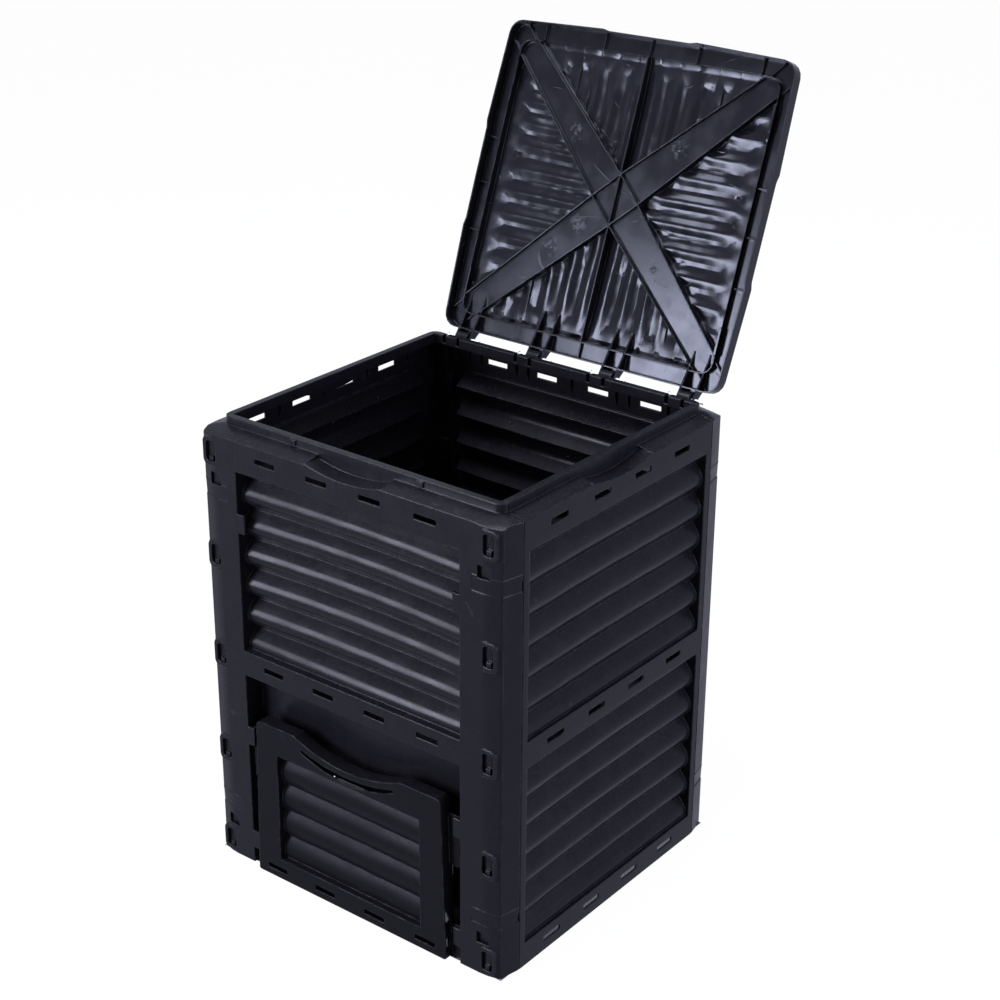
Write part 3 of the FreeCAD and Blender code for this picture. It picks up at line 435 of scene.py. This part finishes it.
def warp_field(places, half, low, high, bow, seed):
    """Bow and dent the points of one wall field, which faces -Y."""
    x, z = places[:, 0], places[:, 2]
    across = x / half
    along = (2 * z - low - high) / (high - low)
    inside = (np.abs(across) < 1) & (np.abs(along) < 1)
    window = np.where(inside, (1 - across ** 2) * (1 - along ** 2), 0.0)
    edge = ease(np.minimum(1 - np.abs(across), 1 - np.abs(along)) * EDGE_STEEPNESS)
    long_dents = ripple(x, LONG_DENT_SQUASH * z, LONG_DENT, seed)
    short_dents = SHORT_DENT_SHARE * ripple(x, SHORT_DENT_SQUASH * z, SHORT_DENT, seed + 1)
    dents = DENT * (DENT_OFFSET + long_dents + short_dents)
    places[:, 1] += bow * window + np.where(inside, edge * dents, 0.0)


# %% [markdown]
# ## The seams beside the corners
#
# A side wall's upright edges meet the corner columns. On the real bin each joint shows as
# a dark line. A drawn line would look the same from all sides, so those edges are moved in
# by less than a millimetre instead.

# %% Seams beside the corners
SEAM_X = 0.2436
SEAM_FACE = 0.3032
SEAM_REACH = 0.0004
SEAM_OPENING = 0.0008


def opened_seams(places):
    """Draw a side wall's upright edges in, so that the seams beside the corners show dark."""
    x, y = places[:, 0].copy(), places[:, 1]
    edge = (np.abs(np.abs(x) - SEAM_X) < SEAM_REACH) & (y < -SEAM_FACE)
    places[:, 0] -= np.where(edge, np.sign(x) * SEAM_OPENING, 0.0)


# %% Walls
FIELDS_Z = ((0.042, 0.358), (0.402, 0.716))
FRONT_HALF = 0.223
SIDE_HALF = 0.230
SLICE = 0.014
FIELD_BOW = {"front_wall": 0.0092, "back_wall": 0.005, "left_wall": 0.004, "right_wall": 0.004}
QUARTER_TURNS = {"front_wall": 0, "right_wall": 1, "back_wall": 2, "left_wall": 3}
FIRST_WALL_SEED = 2


def soft_wall(name, seed):
    """Bowed and softened copy of a wall."""
    fine = copied(name)
    turn = Matrix.Rotation(-math.pi / 2 * QUARTER_TURNS[name], 4, "Z")
    fine.transform(turn)
    half = FRONT_HALF if name in ("front_wall", "back_wall") else SIDE_HALF
    sliced(fine, (1, 0, 0), -half, half, SLICE)
    places = points_of(fine)
    fields = FIELDS_Z[1:] if name == "front_wall" else FIELDS_Z
    for number, (low, high) in enumerate(fields):
        warp_field(places, half, low, high, FIELD_BOW[name], seed + number)
    if name in ("left_wall", "right_wall"):
        opened_seams(places)
    move_points(fine, places)
    fine.transform(turn.inverted())
    return finished(fine, name, "bin")


walls = [soft_wall(name, seed) for seed, name in enumerate(QUARTER_TURNS, start=FIRST_WALL_SEED)]

# %% [markdown]
# ## The door
#
# The door is a panel of the same waves that slides up in the front wall. Its stiff frame
# keeps it straighter than a wall, so it takes the same treatment with a small bow.

# %% Door
DOOR_HALF = 0.150
DOOR_FIELD = (0.040, 0.240)
DOOR_BOW = 0.0015
DOOR_SEED = 9


def soft_door():
    """Bowed and softened copy of the door."""
    fine = copied("door")
    sliced(fine, (1, 0, 0), -DOOR_HALF, DOOR_HALF, SLICE)
    places = points_of(fine)
    warp_field(places, DOOR_HALF, *DOOR_FIELD, DOOR_BOW, DOOR_SEED)
    move_points(fine, places)
    return finished(fine, "door", "door")


door = soft_door()

# %% [markdown]
# ## The lid
#
# The lid's underside is what catches the eye: its waves run from the ring rib towards the
# middle, are never quite straight and die away softly at the ring. The copy is swung
# shut first, so that height is simply z, and its fields are cut into a fine grid.
#
# A sculpted surface would lose the ribs, so only the fields' points move. Each height is
# averaged with its neighbours' a few times, which rounds the ridges and keeps every point
# on the walls of the ribs, so no gap opens there. A second, much longer averaging leaves
# no wave at all, and its height tells the underside from the top. The waves then grow a
# little in the open field and fade out at the ring, low hills are added, and the points
# wander sideways.

# %% Which field a point of the lid lies in
RING_HALF_W = 0.258
RING_HALF_D = 0.2405
RING_MID_Y = -0.003
CROSS_Y = -0.0055
CROSS_HALF_X = 0.046
CROSS_HALF_Y = 0.043
END_STRETCH = 1.14


def lid_fields(x, y):
    """For points of the lid's plan: is it a side field, how far inside it, and how far from the ring."""
    out_x = np.abs(x)
    out_y = np.abs(y - CROSS_Y)
    from_side_ring = RING_HALF_W - out_x
    from_end_ring = RING_HALF_D - np.abs(y - RING_MID_Y)
    in_side = np.minimum(out_x - CROSS_HALF_X - out_y, from_side_ring)
    in_end = np.minimum((out_y - CROSS_HALF_Y) * END_STRETCH - out_x, from_end_ring)
    in_end = np.minimum(in_end, out_x)
    sideways = in_side > in_end
    return sideways, np.maximum(in_side, in_end), np.where(sideways, from_side_ring, from_end_ring)


# %% Averaging heights along the surface
UPRIGHT_RUN = 0.0002
RUN_OFFSET = 0.001
OWN_SHARE = 0.4
NEIGHBOURS_SHARE = 0.6


def averaged(fine, places, soft, heights, rounds):
    """Heights after the soft points are averaged with their neighbours along the surface."""
    ends = np.array([[edge.verts[0].index, edge.verts[1].index] for edge in fine.edges])
    first, second = ends[:, 0], ends[:, 1]
    run = np.hypot(places[first, 0] - places[second, 0], places[first, 1] - places[second, 1])
    linked = soft[first] & soft[second] & (run > UPRIGHT_RUN)
    first, second, weight = first[linked], second[linked], 1 / (run[linked] + RUN_OFFSET)
    count = len(heights)
    share = np.bincount(first, weight, count) + np.bincount(second, weight, count)
    joined = share > 0
    divisor = np.where(joined, share, 1.0)
    for _ in range(rounds):
        total = np.bincount(first, weight * heights[second], count)
        total += np.bincount(second, weight * heights[first], count)
        mixed = OWN_SHARE * heights + NEIGHBOURS_SHARE * total / divisor
        heights = np.where(joined, mixed, heights)
    return heights


# %% Waves that fade at the ring
FIELD_SLACK = 0.0005
FIELD_FLOOR_Z = 0.7942
CREASE_ROUNDS = 12
LEVEL_ROUNDS = 60
WAVE_GAIN = 1.35
WAVE_FADE = 0.085


def waved_heights(fine, places, inside, from_ring):
    """Which points belong to the lid's fields, and their heights with softened waves."""
    soft = (inside > -FIELD_SLACK) & (places[:, 2] > FIELD_FLOOR_Z)
    rounded = averaged(fine, places, soft, places[:, 2], CREASE_ROUNDS)
    lasting = averaged(fine, places, soft, rounded, LEVEL_ROUNDS)
    under = lasting < np.median(lasting[soft])
    level = np.where(under, np.median(rounded[soft & under]), np.median(rounded[soft & ~under]))
    print("lid skin: underside", int((soft & under).sum()), "points, top", int((soft & ~under).sum()))
    return soft, level + (rounded - level) * ease(from_ring / WAVE_FADE) * WAVE_GAIN


# %% Wander and low hills
FREE_FROM = 0.0015
FREE_OVER = 0.014
WANDER = 0.0016
WANDER_LENGTH, WANDER_SQUASH, WANDER_SEED = 0.17, 0.5, 3
HILLS = 0.00045
HILL_LENGTH, HILL_SQUASH, HILL_SEED = 0.033, 0.35, 7
SMALL_HILL_LENGTH, SMALL_HILL_SHARE, SMALL_HILL_SEED = 0.024, 0.35, 8


def uneven(x, y, sideways, inside, soft):
    """Sideways drift and extra height of each point, both nothing at a field's edge."""
    along, across = np.where(sideways, x, y), np.where(sideways, y, x)
    free = ease((inside - FREE_FROM) / FREE_OVER) * soft
    drift = WANDER * free * ripple(along, WANDER_SQUASH * across, WANDER_LENGTH, WANDER_SEED)
    large = ripple(HILL_SQUASH * along, across, HILL_LENGTH, HILL_SEED)
    small = SMALL_HILL_SHARE * ripple(along, across, SMALL_HILL_LENGTH, SMALL_HILL_SEED)
    return drift, HILLS * free * (large + small)


# %% Soft lid
HINGE_PLACE = Vector((0, 0.281, 0.775))
OPEN_TURN = math.radians(111)
SHUT = (Matrix.Translation(HINGE_PLACE) @ Matrix.Rotation(OPEN_TURN, 4, "X")
        @ Matrix.Translation(-HINGE_PLACE))
GRID = 0.0055
LID_EDGE_RADIUS = 0.0005


def soft_lid():
    """Copy of the lid with rounded, fading and slightly wandering waves."""
    fine = copied("lid")
    fine.transform(SHUT)
    sliced(fine, (1, 0, 0), -RING_HALF_W, RING_HALF_W, GRID)
    sliced(fine, (0, 1, 0), RING_MID_Y - RING_HALF_D, RING_MID_Y + RING_HALF_D, GRID)
    fine.verts.index_update()
    places = points_of(fine)
    x, y = places[:, 0].copy(), places[:, 1].copy()
    sideways, inside, from_ring = lid_fields(x, y)
    soft, heights = waved_heights(fine, places, inside, from_ring)
    drift, hills = uneven(x, y, sideways, inside, soft)
    places[:, 0] += np.where(sideways, 0.0, drift)
    places[:, 1] += np.where(sideways, drift, 0.0)
    places[:, 2] = np.where(soft, heights + hills, places[:, 2])
    move_points(fine, places)
    fine.transform(SHUT.inverted())
    return finished(fine, "lid", "lid", LID_EDGE_RADIUS)


lid = soft_lid()

# %% [markdown]
# ## Pockets and dark shade blocks behind the windows
#
# Behind each corner window the side wall carries a pocket that its tongue snaps into, so
# no daylight shows through the window. Each block is also a dark block put in for the
# shade of the bin's inside, behind each window and square hole. Only its dark face shows,
# so each pocket is a plain block, placed by the same measures at all four corners.

# %% Window pockets, which also stand in for the shade behind the windows
WALL_Y = 0.288
WINDOWS = tuple((0.2755, z, 0.027, 0.042) for z in (0.027, 0.202, 0.380, 0.558, 0.7355))
SQUARES = tuple((0.26675, z, 0.030, 0.028) for z in (0.0665, 0.691))
POCKET_AND_SHADE_NEAR = 0.0060
POCKET_AND_SHADE_FAR = 0.0150


def small_piece(mesh, name, body):
    """Object from a mesh, which rides on a body."""
    bmesh.ops.recalc_face_normals(mesh, faces=mesh.faces)
    data = bpy.data.meshes.new(name)
    mesh.to_mesh(data)
    mesh.free()
    piece = bpy.data.objects.new(name, data)
    scene.collection.objects.link(piece)
    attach(piece, body)
    print(name, len(data.polygons), "faces")
    return piece


def window_pockets_and_shade_blocks():
    """One block behind each window and each square hole, partly a pocket and partly a dark stand-in for
    shade.
    """
    mesh = bmesh.new()
    for side_x in (-1, 1):
        for side_y in (-1, 1):
            for x, z, width, height in WINDOWS + SQUARES:
                middle = Vector((side_x * x, side_y * (WALL_Y - (POCKET_AND_SHADE_NEAR + POCKET_AND_SHADE_FAR) / 2), z))
                size = Matrix.Diagonal((width, POCKET_AND_SHADE_FAR - POCKET_AND_SHADE_NEAR, height, 1))
                bmesh.ops.create_cube(mesh, size=1.0, matrix=Matrix.Translation(middle) @ size)
    return small_piece(mesh, "window_pockets_and_shade_blocks", "bin")


pockets_and_shade_blocks = window_pockets_and_shade_blocks()

# %% [markdown]
# ## Marks of the mould
#
# A moulding carries the marks of its tool: a round witness where each gate fed the
# plastic, and small rings where pins pushed the wall out. A bump map could fake them, but
# they are round, so one function spins a profile of radius and height about an axis. A
# ray finds the surface that each mark sits on, and its slope.

# %% Turned marks
MM = 0.001
SIDES = 28
GATE_PROFILE = ((0.0, 1.5), (1.2, 1.5), (1.7, 0.5), (3.2, 0.3),
                (3.7, 0.8), (5.0, 0.8), (5.7, 0.0), (5.7, -0.4))
PIN_PROFILE = ((0.0, 0.4), (2.4, 0.4), (2.8, 1.6), (3.8, 1.6), (4.4, 0.2), (4.4, -0.5))


def surface_of(piece):
    """Search tree of a piece's faces, which rays can be cast at."""
    mesh = piece.data
    points = [vertex.co[:] for vertex in mesh.vertices]
    return BVHTree.FromPolygons(points, [face.vertices[:] for face in mesh.polygons])


def turned_mark(mesh, profile, surface, start, aim):
    """Spin a profile in millimetres about the slope of the surface that a ray meets."""
    place, slope, _, _ = surface.ray_cast(start, aim)
    axis = -slope if slope.dot(aim) > 0 else slope
    turn = axis.to_track_quat("Z", "Y").to_matrix()
    angles = [math.tau * number / SIDES for number in range(SIDES)]
    rings = []
    for radius, height in profile:
        points = [Vector((radius * math.cos(a), radius * math.sin(a), height)) * MM for a in angles]
        rings.append([mesh.verts.new(place + turn @ point) for point in points])
    for low, high in zip(rings, rings[1:]):
        for number in range(SIDES):
            after = (number + 1) % SIDES
            mesh.faces.new((low[number], low[after], high[after], high[number]))
    bmesh.ops.remove_doubles(mesh, verts=rings[0], dist=CUT_GAP)


# %% Gate marks on the lid's crossed bands
GATES = ((-0.111, -0.1035), (0.096, -0.1065), (-0.109, 0.0925), (0.101, 0.0915), (-0.065, 0.0445))
BELOW_LID = 0.70


def gate_marks():
    """Marks on the underside of the bands, found by rays from below the shut lid."""
    mesh = bmesh.new()
    surface = surface_of(lid)
    opened = SHUT.inverted()
    upwards = opened.to_3x3() @ Vector((0, 0, 1))
    for x, y in GATES:
        turned_mark(mesh, GATE_PROFILE, surface, opened @ Vector((x, y, BELOW_LID)), upwards)
    return small_piece(mesh, "gate_marks", "lid")


gates = gate_marks()

# %% Pin marks inside the walls
BACK_MARKS = ((0.009, 0.617), (-0.110, 0.655), (0.125, 0.655))
LEFT_MARKS = ((0.0, 0.691), (-0.115, 0.700), (0.115, 0.700), (0.0, 0.600))
RAY_START = 0.1


def pin_marks():
    """Rings on the inner faces of the two walls that the photograph sees from inside."""
    mesh = bmesh.new()
    back = surface_of(bpy.data.objects["soft_back_wall"])
    for x, z in BACK_MARKS:
        turned_mark(mesh, PIN_PROFILE, back, Vector((x, RAY_START, z)), Vector((0, 1, 0)))
    left = surface_of(bpy.data.objects["soft_left_wall"])
    for y, z in LEFT_MARKS:
        turned_mark(mesh, PIN_PROFILE, left, Vector((-RAY_START, y, z)), Vector((-1, 0, 0)))
    return small_piece(mesh, "pin_marks", "bin")


pins = pin_marks()

# %% [markdown]
# ## The finish
#
# Each feature of the plastic is a node group that hands back a mask or a height, so the
# wall, the lid and the door can share them in other strengths. One big tree per material
# would repeat the same nodes three times. Positions are in metres, taken from the object
# itself, so the finish stays put while a piece moves.

# %% Building blocks for node groups
VECTOR, NUMBER = "NodeSocketVector", "NodeSocketFloat"


def new_group(name, inputs, outputs):
    """Node group with named sockets, and its two end nodes."""
    group = bpy.data.node_groups.new(name, "ShaderNodeTree")
    for label, kind in inputs.items():
        group.interface.new_socket(label, in_out="INPUT", socket_type=kind)
    for label, kind in outputs.items():
        group.interface.new_socket(label, in_out="OUTPUT", socket_type=kind)
    return group, add(group, "NodeGroupInput"), add(group, "NodeGroupOutput")


def use_group(tree, group, **sources):
    """A group's node in a tree, with sockets or plain numbers for its inputs."""
    node = add(tree, "ShaderNodeGroup", node_tree=group)
    for name, source in sources.items():
        feed(tree, node.inputs[name], source)
    return node


def noise(tree, position, size, stretch=(1, 1, 1), detail=2.0):
    """Smooth noise from 0 to 1 whose features have a size in metres, stretched along the axes."""
    scaled = add(tree, "ShaderNodeVectorMath", operation="MULTIPLY")
    scaled.inputs[1].default_value = [1 / (size * share) for share in stretch]
    feed(tree, scaled.inputs[0], position)
    node = add(tree, "ShaderNodeTexNoise", Scale=1.0, Detail=detail)
    feed(tree, node.inputs["Vector"], scaled.outputs[0])
    return node.outputs[0]


def between(tree, value, low, high):
    """0 below the low end, 1 above the high end and smooth between them."""
    node = add(tree, "ShaderNodeMapRange", interpolation_type="SMOOTHSTEP", From_Min=low, From_Max=high)
    feed(tree, node.inputs["Value"], value)
    return node.outputs[0]


# %% [markdown]
# ## Skin and flow marks
#
# The mould's skin leaves a fine grain, and the plastic's shine changes slowly over a few
# centimetres. Streaks follow the way that the plastic ran. Noise does for all three:
# small for the grain, wide for the shine and drawn out along z for the streaks.

# %% Moulded skin: grain height and a slow mottle
GRAIN_SIZE = 0.0035
FINE_GRAIN_SIZE = 0.0011
FINE_GRAIN_SHARE = 0.5
MOTTLE_SIZE = 0.040
MOTTLE_RANGE = (0.35, 0.68)
skin, ins, outs = new_group("Moulded Skin", {"Position": VECTOR, "Grain": NUMBER},
                            {"Height": NUMBER, "Mottle": NUMBER})
coarse = noise(skin, ins.outputs["Position"], GRAIN_SIZE)
fine_grain = noise(skin, ins.outputs["Position"], FINE_GRAIN_SIZE, detail=1.0)
both = maths(skin, "ADD", coarse, maths(skin, "MULTIPLY", fine_grain, FINE_GRAIN_SHARE))
feed(skin, outs.inputs["Height"], maths(skin, "MULTIPLY", both, ins.outputs["Grain"]))
slow = noise(skin, ins.outputs["Position"], MOTTLE_SIZE, detail=3.0)
feed(skin, outs.inputs["Mottle"], between(skin, slow, *MOTTLE_RANGE))
print(skin.name, len(skin.nodes), "nodes")

# %% Flow marks: streaks that the plastic leaves as it runs down the mould
THIN_STREAK, THIN_STRETCH = 0.006, (1, 1, 16)
BROAD_STREAK, BROAD_STRETCH = 0.022, (1, 1, 9)
STREAK_SHARE = 0.5
STREAK_RANGE = (0.44, 0.62)
flow, ins, outs = new_group("Flow Marks", {"Position": VECTOR}, {"Streaks": NUMBER})
thin = noise(flow, ins.outputs["Position"], THIN_STREAK, THIN_STRETCH, 3.0)
broad = noise(flow, ins.outputs["Position"], BROAD_STREAK, BROAD_STRETCH)
mixed = maths(flow, "ADD", maths(flow, "MULTIPLY", thin, STREAK_SHARE),
              maths(flow, "MULTIPLY", broad, STREAK_SHARE))
feed(flow, outs.inputs["Streaks"], between(flow, mixed, *STREAK_RANGE))
print(flow.name, len(flow.nodes), "nodes")

# %% [markdown]
# ## Wear and painted edge highlights
#
# Handling polishes the edges of a bin and leaves a few scratches. The paler edges are
# partly that wear and partly a painted highlight, the light that a rounded edge catches.
# The Bevel node gives the direction of a rounded surface, and where that leaves the flat
# direction there is an edge. Scratches are the thin line where a stretched noise passes
# its middle value, and a second noise keeps them to a few patches.

# %% Rubbed edges and painted sheen: where the rounded direction leaves the flat one
RUB_AND_SHEEN_TURN = (0.01, 0.16)
RUB_AND_SHEEN_PATCH_SIZE = 0.018
RUB_AND_SHEEN_PATCHES = (0.35, 0.65)
edge_rub_and_sheen, ins, outs = new_group("Rubbed Edges And Painted Sheen", {"Rounded": VECTOR, "Flat": VECTOR, "Position": VECTOR},
                              {"Edge": NUMBER})
likeness = add(edge_rub_and_sheen, "ShaderNodeVectorMath", operation="DOT_PRODUCT")
feed(edge_rub_and_sheen, likeness.inputs[0], ins.outputs["Rounded"])
feed(edge_rub_and_sheen, likeness.inputs[1], ins.outputs["Flat"])
turned = maths(edge_rub_and_sheen, "SUBTRACT", 1.0, likeness.outputs["Value"])
uneven_rub_and_sheen = noise(edge_rub_and_sheen, ins.outputs["Position"], RUB_AND_SHEEN_PATCH_SIZE, detail=3.0)
edge = maths(edge_rub_and_sheen, "MULTIPLY", between(edge_rub_and_sheen, turned, *RUB_AND_SHEEN_TURN),
             between(edge_rub_and_sheen, uneven_rub_and_sheen, *RUB_AND_SHEEN_PATCHES))
feed(edge_rub_and_sheen, outs.inputs["Edge"], edge)
print(edge_rub_and_sheen.name, len(edge_rub_and_sheen.nodes), "nodes")

# %% Scratches: thin bent lines, few and in patches
SCRATCH_BEND, SCRATCH_STRETCH = 0.045, (4, 1, 3)
NOISE_MIDDLE = 0.5
SCRATCH_WIDTH = (0.002, 0.007)
SCRATCH_PATCH_SIZE = 0.030
SCRATCH_PATCHES = (0.56, 0.66)
scuffs, ins, outs = new_group("Scratches", {"Position": VECTOR}, {"Scratch": NUMBER})
bent = noise(scuffs, ins.outputs["Position"], SCRATCH_BEND, SCRATCH_STRETCH, 0.0)
off_line = maths(scuffs, "ABSOLUTE", maths(scuffs, "SUBTRACT", bent, NOISE_MIDDLE))
line = maths(scuffs, "SUBTRACT", 1.0, between(scuffs, off_line, *SCRATCH_WIDTH))
patch = between(scuffs, noise(scuffs, ins.outputs["Position"], SCRATCH_PATCH_SIZE), *SCRATCH_PATCHES)
feed(scuffs, outs.inputs["Scratch"], maths(scuffs, "MULTIPLY", line, patch))
print(scuffs.name, len(scuffs.nodes), "nodes")

# %% [markdown]
# ## Gate splay and dust
#
# Round each gate the plastic has a pale blotch, left as it first ran in. The blotch is a
# noise that only counts close to a gate. Dust lies on what faces up, so its specks are
# another noise, masked by the z part of the flat direction.

# %% Gate splay: a pale blotch where the plastic first ran in
LID_BAND_Z = 0.795
SPLAY_REACH = (0.004, 0.022)
SPLAY_SIZE = 0.010
SPLAY_BLOTCH = (0.46, 0.60)
splay, ins, outs = new_group("Gate Splay", {"Position": VECTOR}, {"Splay": NUMBER})
reaches = []
for x, y in GATES:
    away = add(splay, "ShaderNodeVectorMath", operation="DISTANCE")
    away.inputs[1].default_value = SHUT.inverted() @ Vector((x, y, LID_BAND_Z))
    feed(splay, away.inputs[0], ins.outputs["Position"])
    reaches.append(away.outputs["Value"])
nearest = reaches[0]
for reach in reaches[1:]:
    nearest = maths(splay, "MINIMUM", nearest, reach)
close = maths(splay, "SUBTRACT", 1.0, between(splay, nearest, *SPLAY_REACH))
blotch = between(splay, noise(splay, ins.outputs["Position"], SPLAY_SIZE, detail=4.0), *SPLAY_BLOTCH)
feed(splay, outs.inputs["Splay"], maths(splay, "MULTIPLY", close, blotch))
print(splay.name, len(splay.nodes), "nodes")

# %% Dust: pale specks on what faces up
DUST_LIES = (0.25, 0.95)
SPECK_SIZE = 0.0045
SPECKS = (0.50, 0.75)
dusty, ins, outs = new_group("Dust", {"Position": VECTOR, "Flat": VECTOR}, {"Dust": NUMBER})
facing = add(dusty, "ShaderNodeSeparateXYZ")
feed(dusty, facing.inputs[0], ins.outputs["Flat"])
lying = between(dusty, facing.outputs["Z"], *DUST_LIES)
specks = between(dusty, noise(dusty, ins.outputs["Position"], SPECK_SIZE, detail=4.0), *SPECKS)
feed(dusty, outs.inputs["Dust"], maths(dusty, "MULTIPLY", lying, specks))
print(dusty.name, len(dusty.nodes), "nodes")

# %% [markdown]
# ## The black plastics
#
# The walls are satin, the lid is glossy inside and the door is duller. The plastic's own
# colour is nearly black, so its look lies in how strongly and how sharply it mirrors.
# Rubbed edges and scratches are a little paler, and dust is a warm grey; the paler edges
# are partly a painted highlight. The Bevel node widens each edge's highlight to what the
# eye sees on a moulding, and the grain's height tilts the result a little.
#
# In the table, colour is the plastic's own, tint and level are the colour and strength of
# what it mirrors, and roughness is how blurred that is. Grain is a height in metres and
# edge is the rounded width. The rest are strengths of the shared groups.

# %% Values of the three black plastics
FINISHES = {
    "wall_plastic": {"colour": (0.0028, 0.0026, 0.0036), "tint": (0.96, 0.93, 1.0),
                     "roughness": 0.27, "level": 0.078, "grain": 0.000024, "edge": 0.0024,
                     "mottle": 0.06, "streaks": 0.04, "wear_and_sheen": 0.22, "dust": 0.04, "scratches": 0.05},
    "lid_plastic": {"colour": (0.0024, 0.0024, 0.0032), "tint": (0.84, 0.86, 1.0),
                    "roughness": 0.17, "level": 0.135, "grain": 0.000008, "edge": 0.0012,
                    "mottle": 0.09, "streaks": 0.02, "wear_and_sheen": 0.60, "dust": 0.03, "scratches": 0.18},
    "door_plastic": {"colour": (0.0022, 0.0021, 0.0028), "tint": (0.96, 0.93, 1.0),
                     "roughness": 0.38, "level": 0.030, "grain": 0.000030, "edge": 0.0026,
                     "mottle": 0.06, "streaks": 0.05, "wear_and_sheen": 0.40, "dust": 0.03, "scratches": 0.05}}
print("finishes:", ", ".join(FINISHES))

# %% Colour and roughness of a black plastic
# Paler grey of the edges: partly wear and partly a painted highlight along each edge.
RUBBED_AND_SHEEN_GREY = (0.060, 0.060, 0.072, 1)
DUST_GREY = (0.110, 0.105, 0.098, 1)
EDGE_POLISH = 1.5


def sheen_and_wear_colour(tree, finish, edge, scratch, dust):
    """Black that is paler on worn edges, partly a painted highlight, and where scratched, with dust on top.
    """
    # The edge mask pales the colour, which is partly wear and partly a painted highlight.
    wear_and_sheen_share = maths(tree, "MAXIMUM", maths(tree, "MULTIPLY", edge, finish["wear_and_sheen"]),
                 maths(tree, "MULTIPLY", scratch, finish["scratches"]))
    black = mixed_colour(tree, wear_and_sheen_share, (*finish["colour"], 1), RUBBED_AND_SHEEN_GREY)
    return mixed_colour(tree, maths(tree, "MULTIPLY", dust, finish["dust"]), black, DUST_GREY)


def uneven_roughness(tree, finish, mottle, streaks, edge, scratch):
    """Roughness with a slow mottle, less on streaks and worn edges, and more on scratches."""
    rough = maths(tree, "MULTIPLY_ADD", mottle, finish["mottle"], finish["roughness"])
    polish = maths(tree, "MAXIMUM", streaks, maths(tree, "MULTIPLY", edge, EDGE_POLISH))
    rough = maths(tree, "SUBTRACT", rough, maths(tree, "MULTIPLY", polish, finish["streaks"]))
    return maths(tree, "ADD", rough, maths(tree, "MULTIPLY", scratch, finish["scratches"]), clamp=True)


# %% Black plastics
BEVEL_SAMPLES = 4


def black_plastic(name, finish):
    """Material of a black plastic, from the shared groups and its own values."""
    material = bpy.data.materials.new(name)
    material.use_nodes = True
    tree = material.node_tree
    shader = tree.nodes["Principled BSDF"]
    shader.inputs["Specular IOR Level"].default_value = finish["level"]
    shader.inputs["Specular Tint"].default_value = (*finish["tint"], 1)
    position = add(tree, "ShaderNodeTexCoord").outputs["Object"]
    flat = add(tree, "ShaderNodeNewGeometry").outputs["True Normal"]
    rounded = add(tree, "ShaderNodeBevel", samples=BEVEL_SAMPLES, Radius=finish["edge"]).outputs[0]
    surface = use_group(tree, skin, Position=position, Grain=finish["grain"])
    streaks = use_group(tree, flow, Position=position).outputs["Streaks"]
    edge = use_group(tree, edge_rub_and_sheen, Rounded=rounded, Flat=flat, Position=position).outputs["Edge"]
    scratch = use_group(tree, scuffs, Position=position).outputs["Scratch"]
    if name == "lid_plastic":
        scratch = maths(tree, "MAXIMUM", scratch, use_group(tree, splay, Position=position).outputs["Splay"])
    dust = use_group(tree, dusty, Position=position, Flat=flat).outputs["Dust"]
    feed(tree, shader.inputs["Base Color"], sheen_and_wear_colour(tree, finish, edge, scratch, dust))
    rough = uneven_roughness(tree, finish, surface.outputs["Mottle"], streaks, edge, scratch)
    feed(tree, shader.inputs["Roughness"], rough)
    bump = add(tree, "ShaderNodeBump", Strength=1.0, Distance=1.0)
    feed(tree, bump.inputs["Height"], surface.outputs["Height"])
    feed(tree, bump.inputs["Normal"], rounded)
    feed(tree, shader.inputs["Normal"], bump.outputs[0])
    return material


plastics = {name: black_plastic(name, finish) for name, finish in FINISHES.items()}
print("black plastics:", ", ".join(plastics))

# %% [markdown]
# ## The hinge pins
#
# The pins are moulded in pale grey plastic. Little of them shows beside the hinge webs, so
# a plain shader is enough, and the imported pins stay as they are.

# %% Pale plastic
PIN_GREY = (0.45, 0.45, 0.46, 1)
PIN_ROUGHNESS = 0.42
pale_plastic = bpy.data.materials.new("pin_plastic")
pale_plastic.use_nodes = True
pale_shader = pale_plastic.node_tree.nodes["Principled BSDF"]
pale_shader.inputs["Base Color"].default_value = PIN_GREY
pale_shader.inputs["Roughness"].default_value = PIN_ROUGHNESS
plastics["pin_plastic"] = pale_plastic
print("pins:", sum(name.startswith("hinge_pin") for name in nodes))

# %% [markdown]
# ## Dressing every piece
#
# Each piece is one moulding, so it takes one plastic all over. The small pieces take the
# plastic of what carries them.

# %% Dress the pieces
def dress(piece, slot):
    """Give a piece one plastic all over."""
    piece.data.materials.clear()
    piece.data.materials.append(plastics[slot])


# The window blocks take the wall plastic; they partly stand in for the shade inside the bin.
for piece in walls + [pockets_and_shade_blocks, pins]:
    dress(piece, "wall_plastic")
dress(door, "door_plastic")
for piece in (lid, gates):
    dress(piece, "lid_plastic")
for name, node in nodes.items():
    if name.startswith("hinge_pin"):
        dress(node, "pin_plastic")
print("plastics:", ", ".join(plastics))
